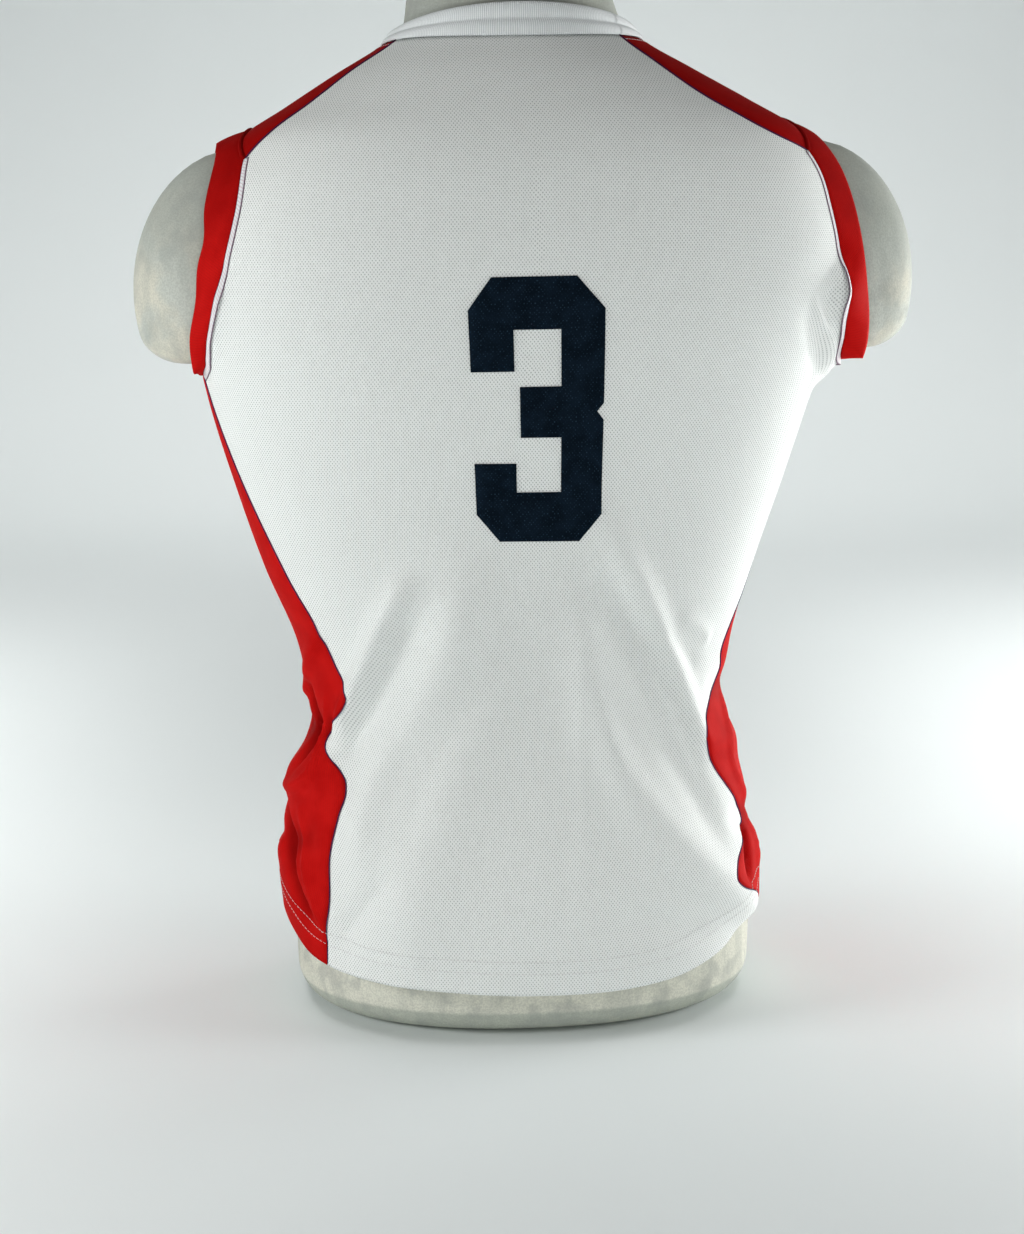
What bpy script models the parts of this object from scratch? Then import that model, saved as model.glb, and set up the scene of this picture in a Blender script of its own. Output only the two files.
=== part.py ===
"""A sleeveless lacrosse jersey on a torso dress form. Metres, +Z up.

The jersey's back faces +Y, its front -Y, and the wearer's left is +X. The origin is the
middle of the form's flat base. Every cloth piece is a thin wall cut from one skin, which
is a stack of rounded sections. A place on the skin is given by its turn (degrees round
the body, 0 at the middle of the back, 90 at the wearer's left) and its height.
"""

import math

import bmesh
import bpy
import numpy as np

# Walls and clearances
CLOTH = 0.0015
RIB = 0.0026
PRINT = 0.0007
SEAM_GAP = 0.0006
PRINT_GAP = 0.0006

# The skin of the jersey's body, from hem to neck
SECTION_COLUMNS = ("height", "half_width", "shift", "back", "front", "square")
SKIN_SECTIONS = (
    (0.020, 0.1555, 0.0005, 0.1220, 0.1180, 2.2),
    (0.055, 0.1555, 0.0005, 0.1210, 0.1165, 2.2),
    (0.090, 0.1565, 0.0020, 0.1170, 0.1140, 2.2),
    (0.130, 0.1495, 0.0030, 0.1080, 0.1100, 2.2),
    (0.190, 0.1345, 0.0025, 0.0930, 0.1040, 2.2),
    (0.230, 0.1390, 0.0035, 0.0890, 0.1030, 2.2),
    (0.280, 0.1560, 0.0060, 0.0920, 0.1050, 2.25),
    (0.330, 0.1725, 0.0055, 0.1010, 0.1110, 2.3),
    (0.400, 0.1930, 0.0035, 0.1180, 0.1170, 2.4),
    (0.430, 0.2005, 0.0010, 0.1230, 0.1180, 2.5),
    (0.460, 0.2050, -0.0015, 0.1255, 0.1170, 2.5),
    (0.500, 0.1985, -0.0025, 0.1245, 0.1110, 2.5),
    (0.530, 0.1860, -0.0030, 0.1195, 0.1010, 2.4),
    (0.548, 0.1720, -0.0020, 0.1130, 0.0900, 2.3),
    (0.565, 0.1440, -0.0010, 0.1040, 0.0790, 2.2),
    (0.585, 0.1100, 0.0010, 0.0910, 0.0670, 2.1),
    (0.602, 0.0810, 0.0015, 0.0760, 0.0580, 2.0),
    (0.615, 0.0660, 0.0015, 0.0640, 0.0500, 2.0),
)

# The form's own torso, which every cloth wall stays clear of
FORM_SECTIONS = (
    (0.000, 0.1475, 0.0000, 0.1100, 0.1060, 2.2),
    (0.100, 0.1460, 0.0000, 0.1060, 0.1030, 2.2),
    (0.150, 0.1340, 0.0000, 0.0940, 0.0990, 2.2),
    (0.195, 0.1240, 0.0000, 0.0810, 0.0950, 2.2),
    (0.240, 0.1290, 0.0005, 0.0780, 0.0940, 2.2),
    (0.280, 0.1400, 0.0010, 0.0820, 0.0960, 2.2),
    (0.330, 0.1560, 0.0005, 0.0910, 0.1020, 2.2),
    (0.400, 0.1760, -0.0010, 0.1100, 0.1090, 2.25),
    (0.460, 0.1880, -0.0030, 0.1190, 0.1090, 2.3),
    (0.500, 0.1840, -0.0030, 0.1180, 0.1030, 2.3),
    (0.530, 0.1740, -0.0030, 0.1130, 0.0930, 2.2),
    (0.548, 0.1600, -0.0030, 0.1060, 0.0810, 2.1),
    (0.565, 0.1330, -0.0020, 0.0970, 0.0690, 2.05),
    (0.585, 0.0970, 0.0005, 0.0830, 0.0580, 2.0),
    (0.602, 0.0710, 0.0010, 0.0680, 0.0530, 2.0),
    (0.615, 0.0665, 0.0020, 0.0630, 0.0525, 2.0),
    (0.629, 0.0630, 0.0035, 0.0615, 0.0540, 2.0),
    (0.650, 0.0592, 0.0045, 0.0600, 0.0550, 2.0),
    (0.690, 0.0580, 0.0045, 0.0590, 0.0550, 2.0),
)
FORM_TOP = 0.690
FORM_TOP_ROUND = 0.010
FORM_BASE_ROUND = 0.022
FORM_HEIGHTS = (
    0, 0.0025, 0.008, 0.022, 0.05, 0.08, 0.11, 0.14, 0.17, 0.20, 0.23, 0.26, 0.29,
    0.32, 0.36, 0.39, 0.4119, 0.412, 0.414, 0.419, 0.428, 0.440, 0.455, 0.473, 0.490,
    0.505, 0.518, 0.529, 0.5365, 0.5415, 0.548, 0.558, 0.570, 0.585, 0.602,
    0.615, 0.629, 0.650, 0.680, 0.687, 0.690,
)
FORM_SIDES = 48
FORM_CROWDING = 0.28

# The closed ends of the form's arms: half ellipsoids, cut flat below
CAP_MIDDLE = 0.175
CAP_SHIFT = -0.0062
CAP_HEIGHT = 0.455
CAP_WIDE = 0.0695
CAP_DEEP = 0.055
CAP_TALL = 0.0875
CAP_CUT = 0.412
CAP_ROUND = 0.018
CAP_BLEND = 0.008

# The largest folds of the cloth: each is a soft ridge (a trough where its rise is negative)
FOLDS = (
    # name, from turn, from height, to turn, to height, bow, rise, left width, right width
    ("left waist ridge", 24.0, 0.279, 61.0, 0.178, 0.000, 0.0068, 0.0075, 0.0140),
    ("left waist trough", 24.0, 0.262, 54.0, 0.166, 0.000, -0.0048, 0.0110, 0.0080),
    ("left sweep", 9.0, 0.292, 30.0, 0.050, 0.006, 0.0055, 0.0280, 0.0240),
    ("left hem trough", 31.0, 0.100, 50.0, 0.052, 0.000, -0.0018, 0.0100, 0.0100),
    ("right waist ridge", -15.0, 0.312, -53.0, 0.176, 0.000, 0.0055, 0.0130, 0.0100),
    ("right waist trough", -14.0, 0.280, -50.0, 0.118, 0.000, -0.0035, 0.0110, 0.0130),
    ("right sweep", -11.0, 0.255, -66.0, 0.066, -0.034, 0.0065, 0.0170, 0.0150),
    ("right hem tuck", -16.0, 0.072, -60.0, 0.052, 0.000, -0.0030, 0.0100, 0.0110),
    ("left side pocket", 58.0, 0.186, 98.0, 0.172, 0.000, -0.0050, 0.0100, 0.0110),
    ("left side roll", 52.0, 0.160, 104.0, 0.142, 0.000, 0.0040, 0.0110, 0.0120),
    ("left low pocket", 60.0, 0.118, 100.0, 0.092, 0.000, -0.0045, 0.0110, 0.0130),
    ("right side pocket", -60.0, 0.204, -100.0, 0.196, 0.000, -0.0035, 0.0110, 0.0110),
    ("right side roll", -52.0, 0.176, -104.0, 0.160, 0.000, 0.0035, 0.0120, 0.0120),
    ("right low pocket", -60.0, 0.120, -100.0, 0.112, 0.000, -0.0040, 0.0110, 0.0110),
    ("front left ridge", 166.0, 0.318, 126.0, 0.186, 0.000, 0.0055, 0.0130, 0.0120),
    ("front left trough", 164.0, 0.268, 128.0, 0.146, 0.000, -0.0035, 0.0130, 0.0120),
    ("front left sweep", 169.0, 0.244, 122.0, 0.070, 0.022, 0.0055, 0.0170, 0.0170),
    ("front right ridge", -150.0, 0.282, -124.0, 0.192, 0.000, 0.0050, 0.0120, 0.0130),
    ("front right trough", -154.0, 0.258, -124.0, 0.160, 0.000, -0.0035, 0.0120, 0.0120),
    ("front right sweep", -171.0, 0.286, -146.0, 0.052, 0.000, 0.0040, 0.0280, 0.0280),
    ("left armhole flare", 60.5, 0.462, 77.0, 0.411, 0.0110, 0.0035, 0.0100, 0.0100),
    ("right armhole flare", -63.0, 0.458, -86.0, 0.402, -0.0148, 0.0065, 0.0100, 0.0100),
)
TURN_SPAN = 0.0025
FOLD_REACH = 3.0
FOLD_FADE = 0.3
STEP_TURN = 0.05
STEP_UP = 0.001

# Seams that run up the sides, as turn against height
LEFT_BACK_SEAM = (
    (0.020, 53), (0.040, 53.5), (0.061, 53), (0.085, 50.5), (0.112, 51), (0.135, 49.5), (0.149, 48.5),
    (0.158, 50.5), (0.167, 58), (0.176, 65.3), (0.185, 62), (0.194, 54.5), (0.202, 50.6), (0.208, 49.4),
    (0.214, 52), (0.222, 54.8), (0.232, 56.6), (0.249, 58.8), (0.268, 61.8), (0.291, 65), (0.340, 72.5),
    (0.381, 77.2), (0.4055, 80),
)
RIGHT_BACK_SEAM = (
    (0.020, 78), (0.056, 76), (0.065, 72.5), (0.0735, 64.5), (0.080, 56.5), (0.0875, 52.5), (0.0965, 56.5),
    (0.108, 66), (0.117, 71), (0.128, 66.5), (0.146, 59), (0.165, 53.5), (0.182, 53.5), (0.194, 60),
    (0.204, 68.5), (0.214, 70), (0.224, 67), (0.240, 71), (0.260, 79), (0.285, 84.5), (0.332, 87),
    (0.4055, 87),
)
FRONT_SEAM = (
    (0.020, 119), (0.137, 121), (0.190, 118), (0.240, 109), (0.332, 100), (0.4055, 98),
)

# Hem and neck, as height against turn
HEM = (
    (-180, 0.034), (-125, 0.042), (-92, 0.060), (-68.5, 0.061), (-60.5, 0.0555), (-53.5, 0.0485),
    (-43, 0.041), (-33.5, 0.0355), (-20, 0.032), (0, 0.0315), (20, 0.034), (36, 0.036), (53.5, 0.040),
    (62, 0.044), (72, 0.053), (86, 0.061), (100, 0.059), (125, 0.044), (180, 0.034),
)
NECK = (
    (-180, 0.563), (-168, 0.567), (-154, 0.577), (-135, 0.592), (-112, 0.600), (-80, 0.603), (0, 0.6015),
    (80, 0.603), (112, 0.600), (135, 0.592), (154, 0.577), (168, 0.567), (180, 0.563),
)

# Armhole seam up the back and up the front, as turn against height
ARMHOLE_BACK = {
    1: (
        (0.4055, 80), (0.4075, 76.5), (0.411, 72), (0.4175, 69), (0.4285, 66), (0.438, 63.5), (0.450, 61),
        (0.465, 59.3), (0.478, 58.4), (0.491, 57.8), (0.505, 58.2), (0.518, 60), (0.533, 64),
    ),
    -1: (
        (0.4055, 87), (0.4075, 78), (0.4095, 75), (0.413, 72.5), (0.4175, 70.7), (0.4285, 67.8),
        (0.438, 65.6), (0.450, 64.8), (0.465, 65.1), (0.480, 64.4), (0.495, 63.9), (0.516, 64.4), (0.533, 64),
    ),
}
ARMHOLE_FRONT = {
    side: (
        (0.4055, 98), (0.4075, 102), (0.411, 108), (0.4175, 112.5), (0.4285, 115), (0.445, 115.5),
        (0.465, 116.5), (0.495, 117.5), (0.533, 117.5),
    )
    for side in (1, -1)
}
ARMPIT_HEIGHT = 0.4055
SHOULDER_CORNER_HEIGHT = 0.533
SHOULDER_TOP_HEIGHT = {1: 0.5530, -1: 0.5545}

# Shoulder strip seams from the armhole to the neck, as turn against height
BACK_SHOULDER_SEAM = {
    1: (
        (0.533, 64), (0.540, 62.3), (0.547, 60.8), (0.557, 61.2), (0.573, 62.8), (0.585, 65), (0.602, 66.2),
    ),
    -1: (
        (0.533, 64), (0.536, 60), (0.541, 54), (0.547, 49.5), (0.557, 46.5), (0.569, 45), (0.582, 46),
        (0.602, 49),
    ),
}
FRONT_SHOULDER_SEAM = {side: ((0.533, 117.5), (0.565, 113), (0.600, 108)) for side in (1, -1)}

# The shoulders slope a little toward the wearer's left
SHOULDER_TILT = 0.011
TILT_FROM = 0.25
TILT_FULL = 0.42

# Armhole band: how far out its edge lies, by its bearing round the arm (0 on top, 90 at the back)
BAND_REACH = {
    1: (
        (-180, 0.2065), (-145, 0.2065), (-125, 0.2068), (-95, 0.2045), (-50, 0.1985), (0, 0.1908),
        (33, 0.1912), (45, 0.1942), (55, 0.1966), (70, 0.1976), (78, 0.2010), (92, 0.2030),
        (110, 0.2078), (121, 0.2072), (130, 0.2055), (148, 0.2055), (180, 0.2065),
    ),
    -1: (
        (-180, 0.1960), (-145, 0.1985), (-125, 0.2050), (-95, 0.2040), (-50, 0.1930), (-20, 0.1810),
        (0, 0.1755), (20, 0.1810), (45, 0.1920), (70, 0.1998), (92, 0.2042), (110, 0.2066),
        (119, 0.2062), (126, 0.2038), (134, 0.1985), (150, 0.1960), (180, 0.1960),
    ),
}
BAND_CLEAR = 0.0050
BAND_INSET = 0.0007

# Collar
COLLAR_NAPE_RISE = 0.019
COLLAR_SIDE_RISE = 0.008
COLLAR_NAPE_LEAN = 0.003
COLLAR_SIDE_LEAN = 0.006
COLLAR_ROLL = 0.0012

# The number: a block 3
NUMBER_HEIGHT = 0.156
NUMBER_WIDTH = 0.080
NUMBER_STROKE = 0.026
NUMBER_BAR = 0.030
UPPER_ARM = 0.054
LOWER_ARM = 0.0475
NUMBER_SQUEEZE = 0.08
NUMBER_LEAN = 0.0035
MIDDLE_BAR_START = 0.029
NUMBER_DROP = 0.0013
CORNER_ACROSS = 0.0142
WIDE_CORNER = 0.0165
CORNER_DOWN = 0.0185
FOOT_CORNER_DOWN = 0.0165
NOTCH = 0.005
NUMBER_FOOT = 0.307
NUMBER_MIDDLE = -0.001
NUMBER_CELL = 0.0115

# Steps along each edge
SIDE_STEPS = 26
SIDE_CROWDING = 1.3
ARMHOLE_STEPS = 9
SHOULDER_STEPS = 6
BACK_STEPS = 24
FRONT_STEPS = 14
STRIP_STEPS = 4
SIDE_PANEL_STEPS = 4


def unit(vectors):
    return vectors / np.maximum(np.linalg.norm(vectors, axis=-1, keepdims=True), 1e-12)


def smooth_table(rows, column, at):
    """Column of a table at the given keys, on a smooth curve through its rows."""
    table = np.array(rows, dtype=float)
    keys, values = table[:, 0], table[:, column]
    at = np.clip(np.asarray(at, dtype=float), keys[0], keys[-1])
    slopes = np.gradient(values, keys)
    row = np.clip(np.searchsorted(keys, at, side="right") - 1, 0, len(keys) - 2)
    span = keys[row + 1] - keys[row]
    t = (at - keys[row]) / span
    return (
        (1 + 2 * t) * (1 - t) ** 2 * values[row]
        + t * (1 - t) ** 2 * span * slopes[row]
        + t * t * (3 - 2 * t) * values[row + 1]
        + t * t * (t - 1) * span * slopes[row + 1]
    )


def section_point(sections, turn, height):
    """Point of a stack of sections at a turn in degrees and a height."""
    turn, height = np.broadcast_arrays(np.asarray(turn, float), np.asarray(height, float))
    half_width, shift, back, front, square = (
        smooth_table(sections, column, height) for column in range(1, len(SECTION_COLUMNS))
    )
    across, along = np.sin(np.radians(turn)), np.cos(np.radians(turn))
    depth = np.where(along > 0, back, front)
    x = shift + half_width * np.sign(across) * np.abs(across) ** (2 / square)
    y = depth * np.sign(along) * np.abs(along) ** (2 / square)
    return np.stack([x, y, height], axis=-1)


def tilted(points):
    """The points with the upper body leaned toward the wearer's left."""
    share = np.clip((points[..., 2] - TILT_FROM) / (TILT_FULL - TILT_FROM), 0, 1)
    drop = SHOULDER_TILT * share * share * (3 - 2 * share) * points[..., 0]
    return points - drop[..., None] * np.array([0, 0, 1])


def fold_rise(turn, height):
    """How far the folds push the skin out at each turn and height."""
    turn = (np.asarray(turn, float) + 180) % 360 - 180
    rise = np.zeros(np.broadcast(turn, height).shape)
    for _, from_turn, from_height, to_turn, to_height, bow, most, left_width, right_width in FOLDS:
        across = ((turn - from_turn + 180) % 360 - 180) * TURN_SPAN
        run = np.array([(to_turn - from_turn) * TURN_SPAN, to_height - from_height])
        length = float(np.hypot(*run))
        run = run / length
        along = (across * run[0] + (height - from_height) * run[1]) / length
        off = across * run[1] - (height - from_height) * run[0]
        within = np.clip(along, 0, 1)
        off = off - bow * 4 * within * (1 - within)
        width = np.where(off * run[1] > 0, left_width, right_width)
        ends = np.clip(np.minimum(along, 1 - along) / FOLD_FADE + 0.5, 0, 1)
        rise += most * np.exp(-np.minimum((off / width) ** 2, FOLD_REACH**2)) * ends * ends * (3 - 2 * ends)
    return rise


def skin(turn, height):
    """Point of the jersey's outer face, with its folds."""
    turn, height = np.broadcast_arrays(np.asarray(turn, float), np.asarray(height, float))
    plain = section_point(SKIN_SECTIONS, turn, height)
    ahead = section_point(SKIN_SECTIONS, turn + STEP_TURN, height) - plain
    out = unit(np.stack([-ahead[..., 1], ahead[..., 0], np.zeros_like(height)], axis=-1))
    return tilted(plain + out * fold_rise(turn, height)[..., None])


def steps_between(start, end, steps):
    return np.linspace(start, end, steps + 1)


def height_rule(table):
    """Height at each turn, for a hem or neck that goes all the way round."""
    return lambda turns: smooth_table(table, 1, (np.asarray(turns) + 180) % 360 - 180)


hem_height = height_rule(HEM)
neck_height = height_rule(NECK)


def side_seam(seam, side=1):
    """(turn, height) up a side seam, from the hem to the armpit."""
    foot = HEM[0][1]
    for _ in range(20):
        foot = float(hem_height(side * smooth_table(seam, 1, foot)))
    heights = foot + (ARMPIT_HEIGHT - foot) * steps_between(0, 1, SIDE_STEPS) ** SIDE_CROWDING
    return np.stack([side * smooth_table(seam, 1, heights), heights], axis=1)


def even_edge(table, side, top, steps):
    """(turn, height) up a seam to its top, in even steps along the skin."""
    heights = steps_between(table[0][0], top, 60)
    turns = side * smooth_table(table, 1, heights)
    stretches = np.linalg.norm(np.diff(skin(turns, heights), axis=0), axis=1)
    length = np.concatenate([[0], np.cumsum(stretches)])
    even = steps_between(0, length[-1], steps)
    return np.stack([np.interp(even, length, turns), np.interp(even, length, heights)], axis=1)


def armhole_edge(tables, side):
    """(turn, height) from the armpit to the shoulder corner."""
    return even_edge(tables[side], side, SHOULDER_CORNER_HEIGHT, ARMHOLE_STEPS)


def shoulder_seam(tables, side):
    """(turn, height) from the armhole to the neck."""
    top = tables[side][-1][0]
    for _ in range(20):
        top = float(neck_height(side * smooth_table(tables[side], 1, top)))
    return even_edge(tables[side], side, top, SHOULDER_STEPS)


def level_edge(first, last, steps, rule):
    """(turn, height) from one turn to another, at the heights that a rule gives."""
    turns = steps_between(first, last, steps)
    return np.stack([turns, rule(turns)], axis=1)


def strip_armhole_edge(side):
    """The strip's armhole end, which rises to the ridge of the shoulder."""
    first, last = BACK_SHOULDER_SEAM[side][0][1], FRONT_SHOULDER_SEAM[side][0][1]
    rise = (SHOULDER_TOP_HEIGHT[side] - SHOULDER_CORNER_HEIGHT) * np.sin(steps_between(0, np.pi, STRIP_STEPS))
    turns = side * steps_between(first, last, STRIP_STEPS)
    return np.stack([turns, SHOULDER_CORNER_HEIGHT + rise], axis=1)


def spread(lower, upper, first, last, up):
    """A patch of (turn, height) between four edges, where up is how far up each row lies."""
    across = np.linspace(0, 1, len(lower))[None, :, None]
    up = np.asarray(up)[:, None, None]
    lower[0], lower[-1], upper[0], upper[-1] = first[0], last[0], first[-1], last[-1]
    ruled = (1 - up) * lower[None] + up * upper[None]
    sides = (1 - across) * first[:, None] + across * last[:, None]
    corners = (1 - up) * ((1 - across) * lower[0] + across * lower[-1]) + up * (
        (1 - across) * upper[0] + across * upper[-1]
    )
    return ruled + sides - corners


def grid_faces(rows, columns, ring=False):
    """Quads of a grid of points, closed into a ring where it goes all round."""
    return [
        (
            row * columns + column,
            (row + 1) * columns + column,
            (row + 1) * columns + (column + 1) % columns,
            row * columns + (column + 1) % columns,
        )
        for row in range(rows - 1)
        for column in range(columns if ring else columns - 1)
    ]


def corner_normals(points, faces):
    """Face normals summed at each point, not yet unit length."""
    total = np.zeros_like(points)
    for face in faces:
        ring = points[list(face)]
        normal = np.cross(ring[2] - ring[0], ring[3 % len(face)] - ring[1])
        for corner in face:
            total[corner] += normal
    return total


class Sheet:
    """The outer face of one cloth piece, with the thickness of its wall."""

    def __init__(self, points, faces, wall=CLOTH, middle=None, inset=SEAM_GAP / 2):
        self.points = np.array(points, float).reshape(-1, 3)
        self.faces = [tuple(face) for face in faces]
        self.wall = wall
        self.inset = inset
        away = self.points - (self.points * [0, 0, 1] if middle is None else np.array(middle))
        if (corner_normals(self.points, self.faces) * away).sum() < 0:
            self.faces = [face[::-1] for face in self.faces]
        self.normals = corner_normals(self.points, self.faces)


def place_key(point):
    return tuple(int(value) for value in np.round(point * 1e5))


def inner_points(sheets):
    """Each sheet's inner face, pushed in along normals that neighbours share, so that seams are mitred."""
    shared = {}
    for sheet in sheets.values():
        for point, normal in zip(sheet.points, sheet.normals):
            shared[place_key(point)] = shared.get(place_key(point), 0) + normal
    inner = {}
    for name, sheet in sheets.items():
        joint = unit(np.array([shared[place_key(point)] for point in sheet.points]))
        lean = np.clip((joint * unit(sheet.normals)).sum(axis=1), 0.7, 1)
        inner[name] = sheet.points - joint * (sheet.wall / lean)[:, None]
    return inner


def border_edges(faces):
    seen = {}
    for face in faces:
        for start, end in zip(face, face[1:] + face[:1]):
            key = (min(start, end), max(start, end))
            seen[key] = None if key in seen else (start, end)
    return [edge for edge in seen.values() if edge]


def border_pull(sheet):
    """Moves that draw a sheet's border in by its inset, within the sheet."""
    normals = unit(sheet.normals)
    inward = {}
    for start, end in border_edges(sheet.faces):
        into = unit(np.cross(normals[start] + normals[end], sheet.points[end] - sheet.points[start]))
        for corner in (start, end):
            inward.setdefault(corner, []).append(into)
    pull = np.zeros_like(sheet.points)
    for corner, directions in inward.items():
        middle = unit(np.sum(directions, axis=0))
        pull[corner] = middle * sheet.inset / max(0.5, float(middle @ directions[0]))
    return pull


def mesh_object(name, points, faces, finish):
    mesh = bpy.data.meshes.new(name)
    mesh.from_pydata([tuple(point) for point in points], [], faces)
    mesh.shade_smooth()
    mesh.set_sharp_from_angle(angle=math.radians(50))
    mesh.materials.append(finish)
    made = bpy.data.objects.new(name, mesh)
    bpy.context.scene.collection.objects.link(made)
    return made


def wall_object(name, sheet, inner, finish):
    """The closed wall between a sheet's outer and inner faces."""
    count = len(sheet.points)
    pull = border_pull(sheet)
    points = np.concatenate([sheet.points + pull, inner + pull])
    faces = sheet.faces + [tuple(corner + count for corner in face[::-1]) for face in sheet.faces]
    faces += [(end, start, start + count, end + count) for start, end in border_edges(sheet.faces)]
    return mesh_object(name, points, faces, finish)


# ---- the pieces of the jersey


def skin_sheet(patch):
    points = skin(patch[..., 0], patch[..., 1])
    return Sheet(points, grid_faces(*points.shape[:2]))


def edge_up(seam, armhole, shoulder, side, past=0):
    """(turn, height) up a panel's whole side: side seam, armhole, then shoulder seam."""
    parts = [side_seam(seam, side), armhole_edge(armhole, side)[1:], shoulder_seam(shoulder, side)[1:]]
    return np.concatenate(parts) + [past, 0]


def main_panel(first, last, steps):
    """The back or the front, between its two sides, with the hem below and the neck above."""
    lower = level_edge(first[0, 0], last[0, 0], steps, hem_height)
    upper = level_edge(first[-1, 0], last[-1, 0], steps, neck_height)
    up = (first[:, 1] - first[0, 1]) / (first[-1, 1] - first[0, 1])
    return skin_sheet(spread(lower, upper, first, last, up))


def back_panel():
    return main_panel(
        edge_up(RIGHT_BACK_SEAM, ARMHOLE_BACK, BACK_SHOULDER_SEAM, -1),
        edge_up(LEFT_BACK_SEAM, ARMHOLE_BACK, BACK_SHOULDER_SEAM, 1),
        BACK_STEPS,
    )


def front_panel():
    return main_panel(
        edge_up(FRONT_SEAM, ARMHOLE_FRONT, FRONT_SHOULDER_SEAM, 1),
        edge_up(FRONT_SEAM, ARMHOLE_FRONT, FRONT_SHOULDER_SEAM, -1, past=360),
        FRONT_STEPS,
    )


def armpit_edge(side):
    turns = steps_between(ARMHOLE_BACK[side][0][1], ARMHOLE_FRONT[side][0][1], SIDE_PANEL_STEPS)
    return np.stack([side * turns, np.full(len(turns), ARMPIT_HEIGHT)], axis=1)


def side_panel(side):
    back = side_seam(LEFT_BACK_SEAM if side > 0 else RIGHT_BACK_SEAM, side)
    front = side_seam(FRONT_SEAM, side)
    lower = level_edge(back[0, 0], front[0, 0], SIDE_PANEL_STEPS, hem_height)
    up = steps_between(0, 1, SIDE_STEPS) ** SIDE_CROWDING
    return skin_sheet(spread(lower, armpit_edge(side), back, front, up))


def shoulder_strip(side):
    back = shoulder_seam(BACK_SHOULDER_SEAM, side)
    front = shoulder_seam(FRONT_SHOULDER_SEAM, side)
    neck = level_edge(back[-1, 0], front[-1, 0], STRIP_STEPS, neck_height)
    up = steps_between(0, 1, SHOULDER_STEPS)
    return skin_sheet(spread(strip_armhole_edge(side), neck, back, front, up))


def armhole_loop(side):
    """Points of the armhole seam, from the armpit up the back, over the shoulder and down the front."""
    loop = np.concatenate([
        armhole_edge(ARMHOLE_BACK, side)[:-1],
        strip_armhole_edge(side)[:-1],
        armhole_edge(ARMHOLE_FRONT, side)[:0:-1],
        armpit_edge(side)[:0:-1],
    ])
    return skin(loop[:, 0], loop[:, 1])


def cap_size(across):
    """How much of the cap's full depth and height is left at a distance from the middle."""
    return np.sqrt(np.clip(1 - ((across - CAP_MIDDLE) / CAP_WIDE) ** 2, 0, 1))


def armhole_band(side):
    """A band from the armhole seam out to its edge, which goes round the form's arm cap."""
    seam = armhole_loop(side)
    bearing = np.arctan2(seam[:, 1], seam[:, 2] - CAP_HEIGHT)
    reach = smooth_table(BAND_REACH[side], 1, np.degrees(bearing))
    size = cap_size(reach)
    height = CAP_HEIGHT + (CAP_TALL * size + BAND_CLEAR) * np.cos(bearing)
    edge = np.stack([
        side * reach + CAP_SHIFT,
        (CAP_DEEP * size + BAND_CLEAR) * np.sin(bearing),
        np.maximum(height, CAP_CUT - BAND_CLEAR),
    ], axis=1)
    edge = tilted(edge)
    rows = np.stack([seam + (edge - seam) * t for t in (0, 0.5, 1)])
    return Sheet(rows, grid_faces(3, len(seam), ring=True), middle=seam.mean(axis=0), inset=BAND_INSET)


def neck_loop():
    """Turns and points of the neck seam, round from the right back corner."""
    right_back, left_back = (shoulder_seam(BACK_SHOULDER_SEAM, side)[-1, 0] for side in (-1, 1))
    right_front, left_front = (shoulder_seam(FRONT_SHOULDER_SEAM, side)[-1, 0] for side in (-1, 1))
    corners = [right_back, left_back, left_front, 360 + right_front, 360 + right_back]
    steps = (BACK_STEPS, STRIP_STEPS, FRONT_STEPS, STRIP_STEPS)
    edges = [level_edge(*ends, neck_height) for ends in zip(corners, corners[1:], steps)]
    loop = np.concatenate([edge[:-1] for edge in edges])
    return loop[:, 0], skin(loop[:, 0], loop[:, 1])


def collar_band():
    """A standing ribbed band, tallest at the nape and the front."""
    turns, seam = neck_loop()
    centre = seam.mean(axis=0) * [1, 1, 0]
    inward = unit((centre - seam) * [1, 1, 0])
    nape_share = (1 + np.cos(2 * np.radians(turns))) / 2
    rise = COLLAR_SIDE_RISE + (COLLAR_NAPE_RISE - COLLAR_SIDE_RISE) * nape_share
    lean = COLLAR_SIDE_LEAN + (COLLAR_NAPE_LEAN - COLLAR_SIDE_LEAN) * nape_share
    top = seam + inward * lean[:, None] + rise[:, None] * np.array([0, 0, 1])
    rows = [
        seam + (top - seam) * share - inward * COLLAR_ROLL * swell
        for share, swell in ((0, 0), (0.3, 1), (0.6, 0.2), (1, 0))
    ]
    return Sheet(np.stack(rows), grid_faces(4, len(seam), ring=True), wall=RIB)


# ---- the number


def turn_at(across, height):
    """Turn on the back where the skin lies a given distance to the wearer's left."""
    half_width, shift, square = (smooth_table(SKIN_SECTIONS, column, height) for column in (1, 2, 5))
    share = (across - shift) / half_width
    return np.degrees(np.arcsin(np.sign(share) * np.abs(share) ** (square / 2)))


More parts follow.
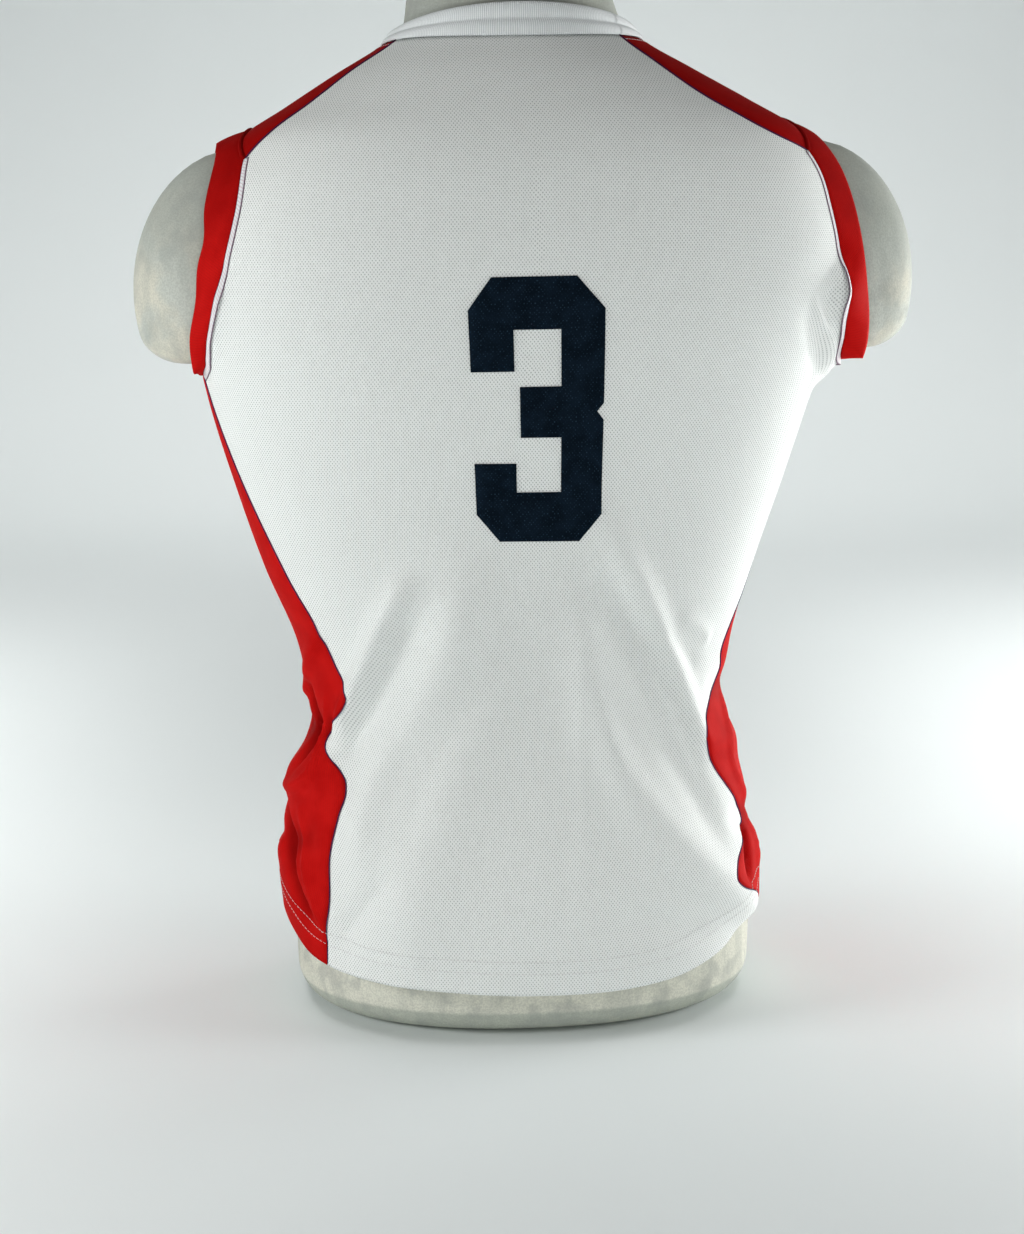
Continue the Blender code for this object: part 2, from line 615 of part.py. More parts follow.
def three_outline():
    """Outline of a block 3 with cut corners, from its left edge and its foot."""
    middle = NUMBER_HEIGHT / 2
    top = NUMBER_HEIGHT
    wide = NUMBER_WIDTH
    inner = wide - NUMBER_STROKE
    counter = NUMBER_BAR / 2
    return [
        (0, top - CORNER_DOWN), (CORNER_ACROSS, top), (wide - WIDE_CORNER, top), (wide, top - CORNER_DOWN),
        (wide, middle + NOTCH), (wide - NOTCH * 0.8, middle), (wide, middle - NOTCH),
        (wide, FOOT_CORNER_DOWN), (wide - CORNER_ACROSS, 0), (CORNER_ACROSS, 0), (0, FOOT_CORNER_DOWN),
        (0, LOWER_ARM), (NUMBER_STROKE, LOWER_ARM), (NUMBER_STROKE, NUMBER_BAR), (inner, NUMBER_BAR),
        (inner, middle - counter), (MIDDLE_BAR_START, middle - counter),
        (MIDDLE_BAR_START, middle + counter), (inner, middle + counter),
        (inner, top - NUMBER_BAR), (NUMBER_STROKE, top - NUMBER_BAR), (NUMBER_STROKE, top - UPPER_ARM),
        (0, top - UPPER_ARM),
    ]


def number_sheet():
    """The flat digit, cut into small cells and laid on the skin."""
    drawing = bmesh.new()
    drawing.faces.new([drawing.verts.new((x, y, 0)) for x, y in three_outline()])
    for axis, length in ((0, NUMBER_WIDTH), (1, NUMBER_HEIGHT)):
        normal = (1 - axis, axis, 0)
        for place in np.arange(NUMBER_CELL, length, NUMBER_CELL):
            parts = drawing.verts[:] + drawing.edges[:] + drawing.faces[:]
            cut = (place, 0, 0) if axis == 0 else (0, place, 0)
            bmesh.ops.bisect_plane(drawing, geom=parts, dist=1e-6, plane_co=cut, plane_no=normal)
    bmesh.ops.triangulate(drawing, faces=[face for face in drawing.faces if len(face.verts) > 4])
    drawing.verts.index_update()
    flat = np.array([vert.co for vert in drawing.verts])
    faces = [tuple(vert.index for vert in face.verts) for face in drawing.faces]
    drawing.free()
    down = 1 - flat[:, 1] / NUMBER_HEIGHT
    height = NUMBER_FOOT + flat[:, 1] - NUMBER_DROP * down * flat[:, 0] / NUMBER_WIDTH
    squeeze = 1 - NUMBER_SQUEEZE * down
    across = NUMBER_MIDDLE - NUMBER_LEAN * down + (NUMBER_WIDTH / 2 - flat[:, 0]) * squeeze
    turns = turn_at(across, height)
    here = skin(turns, height)
    up, round_it = skin(turns, height + STEP_UP) - here, skin(turns + STEP_TURN, height) - here
    return Sheet(here + unit(np.cross(up, round_it)) * (PRINT_GAP + PRINT), faces, wall=PRINT)


# ---- the form


def cap_radius(bearing, height, shift):
    """Distance from the torso's middle to the far side of the nearer arm cap, along a bearing."""
    if height < CAP_CUT:
        return np.zeros_like(bearing)
    round_in = CAP_ROUND - math.sqrt(CAP_ROUND**2 - max(0, CAP_ROUND - (height - CAP_CUT)) ** 2)
    tall = math.sqrt(max(0, 1 - ((height - CAP_HEIGHT) / CAP_TALL) ** 2))
    wide = CAP_WIDE * tall - round_in
    deep = CAP_DEEP * tall - round_in
    if min(wide, deep) <= 0.002:
        return np.zeros_like(bearing)
    across, along = np.abs(np.sin(bearing)) / wide, np.cos(bearing) / deep
    middle = (CAP_MIDDLE + np.sign(np.sin(bearing)) * (CAP_SHIFT - shift)) / wide
    square = across**2 + along**2
    toward = across * middle
    inside = toward**2 - square * (middle**2 - 1)
    return (toward + np.sign(inside) * np.sqrt(np.abs(inside))) / square


def rounded_max(first, second, blend):
    near = np.maximum(blend - np.abs(first - second), 0) / blend
    return np.maximum(first, second) + near * near * blend / 4


def form_ring(height):
    """One level ring of the form: its torso section, with the arm caps blended in."""
    bearing = np.arange(FORM_SIDES) * 2 * math.pi / FORM_SIDES
    bearing = bearing + FORM_CROWDING * np.sin(2 * bearing)
    half_width, shift, back, front, square = (
        float(smooth_table(FORM_SECTIONS, column, height)) for column in range(1, len(SECTION_COLUMNS))
    )
    base = FORM_BASE_ROUND - math.sqrt(FORM_BASE_ROUND**2 - max(0, FORM_BASE_ROUND - height) ** 2)
    crown = max(0, height - (FORM_TOP - FORM_TOP_ROUND))
    crown = FORM_TOP_ROUND - math.sqrt(max(0, FORM_TOP_ROUND**2 - crown**2))
    trim = base + crown
    depth = np.where(np.cos(bearing) > 0, back, front) - trim
    torso = (
        np.abs(np.sin(bearing) / (half_width - trim)) ** square + np.abs(np.cos(bearing) / depth) ** square
    ) ** (-1 / square)
    radius = rounded_max(torso, cap_radius(bearing, height, shift), CAP_BLEND)
    ring = [shift + radius * np.sin(bearing), radius * np.cos(bearing), np.full(FORM_SIDES, height)]
    return tilted(np.stack(ring, axis=1))


def dress_form(finish):
    rings = [form_ring(height) for height in FORM_HEIGHTS]
    faces = [face[::-1] for face in grid_faces(len(rings), FORM_SIDES, ring=True)]
    faces.append(tuple(range(FORM_SIDES)))
    faces.append(tuple(range((len(rings) - 1) * FORM_SIDES, len(rings) * FORM_SIDES))[::-1])
    made = mesh_object("dress_form", np.concatenate(rings), faces, finish)
    work = bmesh.new()
    work.from_mesh(made.data)
    bmesh.ops.recalc_face_normals(work, faces=work.faces[:])
    work.to_mesh(made.data)
    work.free()
    return made


def material(name, colour, roughness):
    made = bpy.data.materials.new(name)
    made.use_nodes = True
    shader = made.node_tree.nodes["Principled BSDF"]
    shader.inputs["Base Color"].default_value = (*colour, 1)
    shader.inputs["Roughness"].default_value = roughness
    shader.inputs["Metallic"].default_value = 0
    return made


def main():
    for old in list(bpy.data.objects):
        bpy.data.objects.remove(old)
    white = material("white_mesh", (0.80, 0.83, 0.83), 0.75)
    red = material("red_knit", (0.42, 0.010, 0.008), 0.6)
    rib = material("white_rib", (0.78, 0.81, 0.81), 0.8)
    navy = material("navy_print", (0.008, 0.014, 0.028), 0.5)
    cover = material("form_cover", (0.42, 0.43, 0.38), 0.85)
    sheets = {
        "back_panel": (back_panel(), white),
        "front_panel": (front_panel(), white),
        "side_panel_left": (side_panel(1), red),
        "side_panel_right": (side_panel(-1), red),
        "shoulder_strip_left": (shoulder_strip(1), red),
        "shoulder_strip_right": (shoulder_strip(-1), red),
        "armhole_band_left": (armhole_band(1), red),
        "armhole_band_right": (armhole_band(-1), red),
        "collar_band": (collar_band(), rib),
        "number_three": (number_sheet(), navy),
    }
    inner = inner_points({name: sheet for name, (sheet, _) in sheets.items()})
    for name, (sheet, finish) in sheets.items():
        wall_object(name, sheet, inner[name], finish)
    dress_form(cover)


main()
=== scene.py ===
"""The looks of a sleeveless lacrosse jersey worn by a limbless dress form. Metres, +Z up.

The jersey's back faces +Y, its front -Y, and the wearer's left is +X. Every cloth piece is a
thin sheet on one skin, a stack of rounded sections. A place on the skin is given by its turn
(degrees round the body, 0 at the middle of the back, 90 at the wearer's left) and its height.
"""

import math

import bmesh
import bpy
import numpy as np
from mathutils import Matrix, Vector


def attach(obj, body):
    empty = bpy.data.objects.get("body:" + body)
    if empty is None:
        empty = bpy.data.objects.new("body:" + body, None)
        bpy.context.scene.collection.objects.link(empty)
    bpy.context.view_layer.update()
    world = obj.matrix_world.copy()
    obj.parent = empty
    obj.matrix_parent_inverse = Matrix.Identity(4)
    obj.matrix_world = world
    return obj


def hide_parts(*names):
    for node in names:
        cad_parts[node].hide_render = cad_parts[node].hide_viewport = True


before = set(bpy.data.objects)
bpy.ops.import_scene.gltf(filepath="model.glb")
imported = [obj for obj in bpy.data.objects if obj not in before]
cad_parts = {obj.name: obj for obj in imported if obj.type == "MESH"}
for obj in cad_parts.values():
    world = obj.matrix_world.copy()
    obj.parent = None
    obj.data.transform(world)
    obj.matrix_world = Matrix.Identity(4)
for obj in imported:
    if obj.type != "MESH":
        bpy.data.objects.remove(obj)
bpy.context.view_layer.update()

# ---- sizes of the jersey and the form

CLOTH = 0.0012
RIB = 0.0022
PRINT = 0.0004
PRINT_LIFT = 0.00025

SKIN_SECTIONS = (
    # height, half width, shift, back, front, squareness
    (0.020, 0.1555, 0.0005, 0.1220, 0.1180, 2.2),
    (0.055, 0.1555, 0.0005, 0.1210, 0.1165, 2.2),
    (0.090, 0.1565, 0.0020, 0.1170, 0.1140, 2.2),
    (0.130, 0.1495, 0.0030, 0.1080, 0.1100, 2.2),
    (0.190, 0.1345, 0.0025, 0.0930, 0.1040, 2.2),
    (0.230, 0.1390, 0.0035, 0.0890, 0.1030, 2.2),
    (0.280, 0.1560, 0.0060, 0.0920, 0.1050, 2.25),
    (0.330, 0.1725, 0.0055, 0.1010, 0.1110, 2.3),
    (0.400, 0.1930, 0.0035, 0.1180, 0.1170, 2.4),
    (0.430, 0.2005, 0.0010, 0.1230, 0.1180, 2.5),
    (0.460, 0.2050, -0.0015, 0.1255, 0.1170, 2.5),
    (0.500, 0.1985, -0.0025, 0.1245, 0.1110, 2.5),
    (0.530, 0.1860, -0.0030, 0.1195, 0.1010, 2.4),
    (0.548, 0.1720, -0.0020, 0.1130, 0.0900, 2.3),
    (0.565, 0.1440, -0.0010, 0.1040, 0.0790, 2.2),
    (0.585, 0.1100, 0.0010, 0.0910, 0.0670, 2.1),
    (0.602, 0.0810, 0.0015, 0.0760, 0.0580, 2.0),
    (0.615, 0.0660, 0.0015, 0.0640, 0.0500, 2.0),
)
FORM_SECTIONS = (
    (0.000, 0.1475, 0.0000, 0.1100, 0.1060, 2.2),
    (0.100, 0.1460, 0.0000, 0.1060, 0.1030, 2.2),
    (0.150, 0.1340, 0.0000, 0.0940, 0.0990, 2.2),
    (0.195, 0.1240, 0.0000, 0.0810, 0.0950, 2.2),
    (0.240, 0.1290, 0.0005, 0.0780, 0.0940, 2.2),
    (0.280, 0.1400, 0.0010, 0.0820, 0.0960, 2.2),
    (0.330, 0.1560, 0.0005, 0.0910, 0.1020, 2.2),
    (0.400, 0.1760, -0.0010, 0.1100, 0.1090, 2.25),
    (0.460, 0.1880, -0.0030, 0.1190, 0.1090, 2.3),
    (0.500, 0.1840, -0.0030, 0.1180, 0.1030, 2.3),
    (0.530, 0.1740, -0.0030, 0.1130, 0.0930, 2.2),
    (0.548, 0.1600, -0.0030, 0.1060, 0.0810, 2.1),
    (0.565, 0.1330, -0.0020, 0.0970, 0.0690, 2.05),
    (0.585, 0.0970, 0.0005, 0.0830, 0.0580, 2.0),
    (0.602, 0.0710, 0.0010, 0.0680, 0.0530, 2.0),
    (0.615, 0.0665, 0.0020, 0.0630, 0.0525, 2.0),
    (0.629, 0.0630, 0.0035, 0.0615, 0.0540, 2.0),
    (0.650, 0.0592, 0.0045, 0.0600, 0.0550, 2.0),
    (0.690, 0.0580, 0.0045, 0.0590, 0.0550, 2.0),
)
SECTION_COLUMNS = 6
FORM_TOP = 0.690
FORM_TOP_ROUND = 0.010
FORM_BASE_ROUND = 0.022
FORM_SIDES = 220
FORM_STEP = 0.0042
FORM_CROWDING = 0.28
FORM_SHARP = 40
FORM_BASE_RINGS = 14
FORM_TOP_RINGS = 8

CAP_MIDDLE = 0.175
CAP_SHIFT = -0.0062
CAP_HEIGHT = 0.455
CAP_WIDE = 0.0695
CAP_DEEP = 0.055
CAP_TALL = 0.0875
CAP_CUT = 0.412
CAP_ROUND = 0.018
CAP_BLEND = 0.008
CAP_THIN = 0.002
CAP_RINGS = 12
CAP_STEP = 0.0001

# The largest folds, then the smaller creases, each a soft ridge, or a trough where it sinks
FOLDS = (
    # from turn, from height, to turn, to height, bow, rise, left width, right width
    (24.0, 0.279, 61.0, 0.178, 0.000, 0.0068, 0.0075, 0.0140),
    (24.0, 0.262, 54.0, 0.166, 0.000, -0.0048, 0.0110, 0.0080),
    (9.0, 0.292, 30.0, 0.050, 0.006, 0.0055, 0.0280, 0.0240),
    (31.0, 0.100, 50.0, 0.052, 0.000, -0.0018, 0.0100, 0.0100),
    (-15.0, 0.312, -53.0, 0.176, 0.000, 0.0055, 0.0130, 0.0100),
    (-14.0, 0.280, -50.0, 0.118, 0.000, -0.0035, 0.0110, 0.0130),
    (-11.0, 0.255, -66.0, 0.066, -0.034, 0.0065, 0.0170, 0.0150),
    (-16.0, 0.072, -60.0, 0.052, 0.000, -0.0030, 0.0100, 0.0110),
    (58.0, 0.186, 98.0, 0.172, 0.000, -0.0050, 0.0100, 0.0110),
    (52.0, 0.160, 104.0, 0.142, 0.000, 0.0040, 0.0110, 0.0120),
    (60.0, 0.118, 100.0, 0.092, 0.000, -0.0045, 0.0110, 0.0130),
    (-60.0, 0.204, -100.0, 0.196, 0.000, -0.0035, 0.0110, 0.0110),
    (-52.0, 0.176, -104.0, 0.160, 0.000, 0.0035, 0.0120, 0.0120),
    (-60.0, 0.120, -100.0, 0.112, 0.000, -0.0040, 0.0110, 0.0110),
    (166.0, 0.318, 126.0, 0.186, 0.000, 0.0055, 0.0130, 0.0120),
    (164.0, 0.268, 128.0, 0.146, 0.000, -0.0035, 0.0130, 0.0120),
    (169.0, 0.244, 122.0, 0.070, 0.022, 0.0055, 0.0170, 0.0170),
    (-150.0, 0.282, -124.0, 0.192, 0.000, 0.0050, 0.0120, 0.0130),
    (-154.0, 0.258, -124.0, 0.160, 0.000, -0.0035, 0.0120, 0.0120),
    (-171.0, 0.286, -146.0, 0.052, 0.000, 0.0040, 0.0280, 0.0280),
    (60.5, 0.462, 77.0, 0.411, 0.0110, 0.0035, 0.0100, 0.0100),
    (-63.0, 0.458, -86.0, 0.402, -0.0148, 0.0065, 0.0100, 0.0100),
)
CREASES = (
    # rise, width on the left and on the right of the way along it, then its (turn, height) places
    (0.0018, 0.0045, 0.0080, (23, 0.281), (26, 0.271), (33, 0.251), (40, 0.232), (49.5, 0.205),
     (60, 0.181)),
    (-0.0010, 0.0070, 0.0045, (26, 0.258), (34, 0.237), (42, 0.211), (49.5, 0.188), (51, 0.172)),
    (0.0050, 0.0150, 0.0120, (9.5, 0.284), (17, 0.243), (28, 0.200), (37, 0.172), (41, 0.134),
     (40, 0.100)),
    (-0.0016, 0.0090, 0.0080, (1, 0.282), (7, 0.236), (16, 0.196), (24, 0.160), (28, 0.120)),
    (-0.0012, 0.0050, 0.0050, (32, 0.100), (40, 0.078), (49, 0.056)),
    (0.0012, 0.0070, 0.0090, (-15, 0.326), (-29, 0.262), (-40, 0.231), (-49, 0.206), (-54, 0.176)),
    (-0.0012, 0.0060, 0.0050, (-13, 0.300), (-25, 0.252), (-35, 0.218), (-44, 0.186), (-49, 0.150)),
    (0.0014, 0.0100, 0.0080, (-13, 0.250), (-18, 0.200), (-21, 0.150), (-26, 0.118), (-36, 0.092),
     (-50, 0.078)),
    (-0.0012, 0.0060, 0.0080, (-18, 0.084), (-30, 0.066), (-44, 0.060)),
    (0.0018, 0.0060, 0.0060, (-40, 0.254), (-49, 0.245), (-56, 0.236)),
    (-0.0014, 0.0050, 0.0060, (-36, 0.246), (-42, 0.234), (-50, 0.220)),
    (0.0008, 0.0040, 0.0040, (-11.5, 0.262), (-11, 0.160), (-8, 0.060)),
    (0.0042, 0.0100, 0.0110, (-64.5, 0.466), (-66, 0.446), (-69, 0.430), (-73, 0.417), (-80, 0.407),
     (-88, 0.397)),
    (0.0027, 0.0034, 0.0042, (-54, 0.445), (-57.5, 0.436), (-62, 0.4265), (-66.5, 0.417),
     (-72.5, 0.405), (-78, 0.396), (-72, 0.390)),
    (-0.0008, 0.0040, 0.0040, (-57, 0.450), (-62, 0.438), (-69, 0.424)),
    (-0.0014, 0.0050, 0.0050, (-51, 0.437), (-56, 0.424), (-62, 0.411), (-69, 0.399), (-68, 0.390)),
    (0.0034, 0.0040, 0.0080, (57, 0.246), (66, 0.232), (77, 0.217), (88, 0.201), (100, 0.194)),
    (-0.0080, 0.0080, 0.0055, (84, 0.206), (79, 0.194), (78, 0.180), (79, 0.167), (84, 0.152)),
    (0.0044, 0.0045, 0.0036, (65, 0.200), (69, 0.178), (66, 0.165), (67, 0.154), (76, 0.144),
     (92, 0.138)),
    (-0.0064, 0.0035, 0.0080, (98, 0.134), (86, 0.127), (77, 0.115), (72, 0.098), (66, 0.082),
     (60, 0.066)),
    (0.0024, 0.0080, 0.0030, (70, 0.132), (66, 0.112), (61, 0.092), (57, 0.074), (53, 0.058)),
    (0.0056, 0.0110, 0.0070, (80, 0.104), (91, 0.096), (106, 0.090)),
    (0.0022, 0.0050, 0.0050, (-84, 0.200), (-72, 0.176), (-70, 0.150), (-80, 0.122)),
    (-0.0062, 0.0045, 0.0050, (-70, 0.112), (-66, 0.098), (-62, 0.080)),
    (0.0024, 0.0040, 0.0050, (-76, 0.122), (-77, 0.102), (-74, 0.082)),
    (0.0016, 0.0040, 0.0060, (150, 0.300), (139, 0.252), (126, 0.204)),
    (0.0014, 0.0060, 0.0050, (-158, 0.262), (-144, 0.214), (-128, 0.170)),
    (0.0010, 0.0050, 0.0050, (178, 0.250), (176, 0.160), (172, 0.070)),
    (-0.0012, 0.0060, 0.0060, (-140, 0.110), (-133, 0.084), (-126, 0.060)),
)

# Metres of cloth taken for one degree, then how the folds end and how finely the skin is read
TURN_SPAN = 0.0025
FOLD_REACH = 3.0
FOLD_FADE = 0.3
FOLD_START = 0.5
CREASE_START = 0.35
CREASE_STEPS = 80
STEP_TURN = 0.05
STEP_UP = 0.001
GRAIN_TURNS = 100
GRAIN_STEP = 0.004
GRAIN_TOP = 0.66
GRAIN_END = 1.001

LEFT_BACK_SEAM = (
    # height, turn
    (0.020, 53), (0.040, 53.5), (0.061, 53), (0.085, 50.5), (0.112, 51), (0.135, 49.5),
    (0.149, 48.5), (0.158, 50.5), (0.167, 58), (0.176, 65.3), (0.185, 62), (0.194, 54.5),
    (0.202, 50.6), (0.208, 49.4), (0.214, 52), (0.222, 54.8), (0.232, 56.6), (0.249, 58.8),
    (0.268, 61.8), (0.291, 65), (0.340, 72.5), (0.381, 77.2), (0.4055, 80),
)
RIGHT_BACK_SEAM = (
    (0.020, 78), (0.056, 76), (0.065, 72.5), (0.0735, 64.5), (0.080, 56.5), (0.0875, 52.5),
    (0.0965, 56.5), (0.108, 66), (0.117, 71), (0.128, 66.5), (0.146, 59), (0.165, 53.5),
    (0.182, 53.5), (0.194, 60), (0.204, 68.5), (0.214, 70), (0.224, 67), (0.240, 71),
    (0.260, 79), (0.285, 84.5), (0.332, 87), (0.4055, 87),
)
BACK_SEAM = {1: LEFT_BACK_SEAM, -1: RIGHT_BACK_SEAM}
FRONT_SEAM = (
    (0.020, 119), (0.137, 121), (0.190, 118), (0.240, 109), (0.332, 100), (0.4055, 98),
)
HEM = (
    # turn, height
    (-180, 0.034), (-125, 0.042), (-92, 0.060), (-68.5, 0.061), (-60.5, 0.0555), (-53.5, 0.0485),
    (-43, 0.041), (-33.5, 0.0355), (-20, 0.032), (0, 0.0315), (20, 0.034), (36, 0.036),
    (53.5, 0.040), (62, 0.044), (72, 0.053), (86, 0.061), (100, 0.059), (125, 0.044),
    (180, 0.034),
)
NECK = (
    (-180, 0.563), (-168, 0.567), (-154, 0.577), (-135, 0.592), (-112, 0.600), (-80, 0.603),
    (0, 0.6015), (80, 0.603), (112, 0.600), (135, 0.592), (154, 0.577), (168, 0.567),
    (180, 0.563),
)
ARMHOLE_BACK = {
    1: (
        (0.4055, 80), (0.4075, 76.5), (0.411, 72), (0.4175, 69), (0.4285, 66), (0.438, 63.5),
        (0.450, 61), (0.465, 59.3), (0.478, 58.4), (0.491, 57.8), (0.505, 58.2), (0.518, 60),
        (0.533, 64),
    ),
    -1: (
        (0.4055, 87), (0.4075, 78), (0.4095, 75), (0.413, 72.5), (0.4175, 70.7), (0.4285, 67.8),
        (0.438, 65.6), (0.450, 64.8), (0.465, 65.1), (0.480, 64.4), (0.495, 63.9), (0.516, 64.4),
        (0.533, 64),
    ),
}
ARMHOLE_FRONT = {
    side: (
        (0.4055, 98), (0.4075, 102), (0.411, 108), (0.4175, 112.5), (0.4285, 115),
        (0.445, 115.5), (0.465, 116.5), (0.495, 117.5), (0.533, 117.5),
    )
    for side in (1, -1)
}
ARMPIT_HEIGHT = 0.4055
SHOULDER_CORNER_HEIGHT = 0.533
SHOULDER_TOP_HEIGHT = {1: 0.5530, -1: 0.5545}
BACK_SHOULDER_SEAM = {
    1: (
        (0.533, 64), (0.540, 62.3), (0.547, 60.8), (0.557, 61.2), (0.573, 62.8), (0.585, 65),
        (0.602, 66.2),
    ),
    -1: (
        (0.533, 64), (0.536, 60), (0.541, 54), (0.547, 49.5), (0.557, 46.5), (0.569, 45),
        (0.582, 46), (0.602, 49),
    ),
}
FRONT_SHOULDER_SEAM = {side: ((0.533, 117.5), (0.565, 113), (0.600, 108)) for side in (1, -1)}
SHOULDER_TILT = 0.011
TILT_FROM = 0.25
TILT_FULL = 0.42

# How far out each band's edge lies, by its bearing round the arm: 0 on top, 90 at the back
BAND_REACH = {
    1: (
        (-180, 0.2065), (-145, 0.2065), (-125, 0.2068), (-95, 0.2045), (-50, 0.1985),
        (0, 0.1908), (33, 0.1912), (45, 0.1942), (55, 0.1966), (70, 0.1976), (78, 0.2010),
        (92, 0.2030), (110, 0.2078), (121, 0.2072), (130, 0.2055), (148, 0.2055), (180, 0.2065),
    ),
    -1: (
        (-180, 0.1960), (-145, 0.1985), (-125, 0.2050), (-95, 0.2040), (-50, 0.1930),
        (-20, 0.1810), (0, 0.1755), (20, 0.1810), (45, 0.1920), (70, 0.1998), (92, 0.2042),
        (110, 0.2066), (119, 0.2062), (126, 0.2038), (134, 0.1985), (150, 0.1960), (180, 0.1960),
    ),
}
BAND_CLEAR = 0.0050

COLLAR_NAPE_RISE = 0.019
COLLAR_SIDE_RISE = 0.008
COLLAR_NAPE_LEAN = 0.003
COLLAR_SIDE_LEAN = 0.006

NUMBER_HEIGHT = 0.156
NUMBER_WIDTH = 0.080
NUMBER_STROKE = 0.026
NUMBER_BAR = 0.030
UPPER_ARM = 0.054
LOWER_ARM = 0.0475
NUMBER_SQUEEZE = 0.08
NUMBER_LEAN = 0.0035
MIDDLE_BAR_START = 0.029
NUMBER_DROP = 0.0013
CORNER_ACROSS = 0.0142
WIDE_CORNER = 0.0165
CORNER_DOWN = 0.0185
FOOT_CORNER_DOWN = 0.0165
NOTCH = 0.005
NOTCH_IN = 0.004
NUMBER_FOOT = 0.307
NUMBER_MIDDLE = -0.001
NUMBER_CELL = 0.0035

# Steps along each edge of the cloth pieces
SIDE_STEPS = 160
ARMHOLE_STEPS = 64
SHOULDER_STEPS = 28
BACK_STEPS = 180
FRONT_STEPS = 84
STRIP_STEPS = 28
SIDE_PANEL_STEPS = 34
BAND_STEPS = 12
EDGE_SAMPLES = 400
FITTING_ROUNDS = 20

# Edges of the cloth, and the sewing
TUCK = 0.0006
TUCK_WIDTH = 0.0030
HEM_DEPTH = 0.021
HEM_LIFT = 0.0004
HEM_EDGE = 0.001
TAPE = 0.0042
TAPE_LIFT = 0.0006
TAPE_LIFT_CURVE = 0.35
TAPE_ACROSS = (0.06, 0.14, 0.3, 0.5, 0.7, 0.86, 0.94)
TAPE_WALL = 0.0004
TAPE_CORD_RADIUS = 0.00035
TAPE_CORD_OUT = 1.02
TAPE_CORD_LIFT = 0.0001
CORD_RADIUS = 0.00032
CORD_SIDES = 8
WELT_RADIUS = 0.0016
WELT_SINK = 0.0002
WELT_SIDES = 12
# How much darker the red is painted as shade in the hollows, and the sinking depths over which that
# painted shade comes in
HOLLOW_SHADE_SHARE = 0.8
HOLLOW_SHADE_DEPTHS = (0.0004, 0.0060)
BAND_FULL = 0.0010
BAND_FULL_CURVE = 0.7
BAND_TUCK = 0.06
THREAD = 0.00018
STITCH = 0.0026
STITCH_GAP = 0.0008
STITCH_ENDS = 0.55
STITCH_LIFT = 1.3
STITCH_SINK = 0.4
STITCH_SIDES = 6
STITCH_RINGS = 5
HEM_ROWS = (("upper", HEM_DEPTH), ("lower", HEM_DEPTH - 0.0075))
HEM_LINE_STEPS = 300
SIDE_HEM_LINE_STEPS = 120
NECK_LINE_STEPS = 60
NECK_STITCHES = 0.0030
SIDE_STITCHES = {1: 0, -1: -26}


# ---- the skin


def unit(vectors):
    return vectors / np.maximum(np.linalg.norm(vectors, axis=-1, keepdims=True), 1e-12)


def soft_step(value, low, high):
    share = np.clip((value - low) / (high - low), 0, 1)
    return share * share * (3 - 2 * share)


def smooth_table(rows, column, at):
    """Column of a table at the given keys, on a smooth curve through its rows."""
    table = np.array(rows, dtype=float)
    keys, values = table[:, 0], table[:, column]
    at = np.clip(np.asarray(at, dtype=float), keys[0], keys[-1])
    slopes = np.gradient(values, keys)
    row = np.clip(np.searchsorted(keys, at, side="right") - 1, 0, len(keys) - 2)
    span = keys[row + 1] - keys[row]
    t = (at - keys[row]) / span
    return (
        (1 + 2 * t) * (1 - t) ** 2 * values[row]
        + t * (1 - t) ** 2 * span * slopes[row]
        + t * t * (3 - 2 * t) * values[row + 1]
        + t * t * (t - 1) * span * slopes[row + 1]
    )


def section_point(sections, turn, height):
    """Point of a stack of sections at a turn in degrees and a height."""
    turn, height = np.broadcast_arrays(np.asarray(turn, float), np.asarray(height, float))
    half_width, shift, back, front, square = (
        smooth_table(sections, column, height) for column in range(1, SECTION_COLUMNS)
    )
    across, along = np.sin(np.radians(turn)), np.cos(np.radians(turn))
    depth = np.where(along > 0, back, front)
    x = shift + half_width * np.sign(across) * np.abs(across) ** (2 / square)
    y = depth * np.sign(along) * np.abs(along) ** (2 / square)
    return np.stack([x, y, height], axis=-1)


def tilted(points):
    """The points with the upper body leaned toward the wearer's left."""
    drop = SHOULDER_TILT * soft_step(points[..., 2], TILT_FROM, TILT_FULL) * points[..., 0]
    return points - drop[..., None] * np.array([0, 0, 1])


def fold_rise(turn, height):
    """How far the folds push the skin out at each turn and height."""
    turn = (np.asarray(turn, float) + 180) % 360 - 180
    rise = np.zeros(np.broadcast(turn, height).shape)
    for from_turn, from_height, to_turn, to_height, bow, most, left_width, right_width in FOLDS:
        across = ((turn - from_turn + 180) % 360 - 180) * TURN_SPAN
        run = np.array([(to_turn - from_turn) * TURN_SPAN, to_height - from_height])
        length = float(np.hypot(*run))
        run = run / length
        along = (across * run[0] + (height - from_height) * run[1]) / length
        off = across * run[1] - (height - from_height) * run[0]
        within = np.clip(along, 0, 1)
        off = off - bow * 4 * within * (1 - within)
        width = np.where(off * run[1] > 0, left_width, right_width)
        ends = soft_step(np.minimum(along, 1 - along) / FOLD_FADE + FOLD_START, 0, 1)
        rise += most * np.exp(-np.minimum((off / width) ** 2, FOLD_REACH**2)) * ends
    return rise


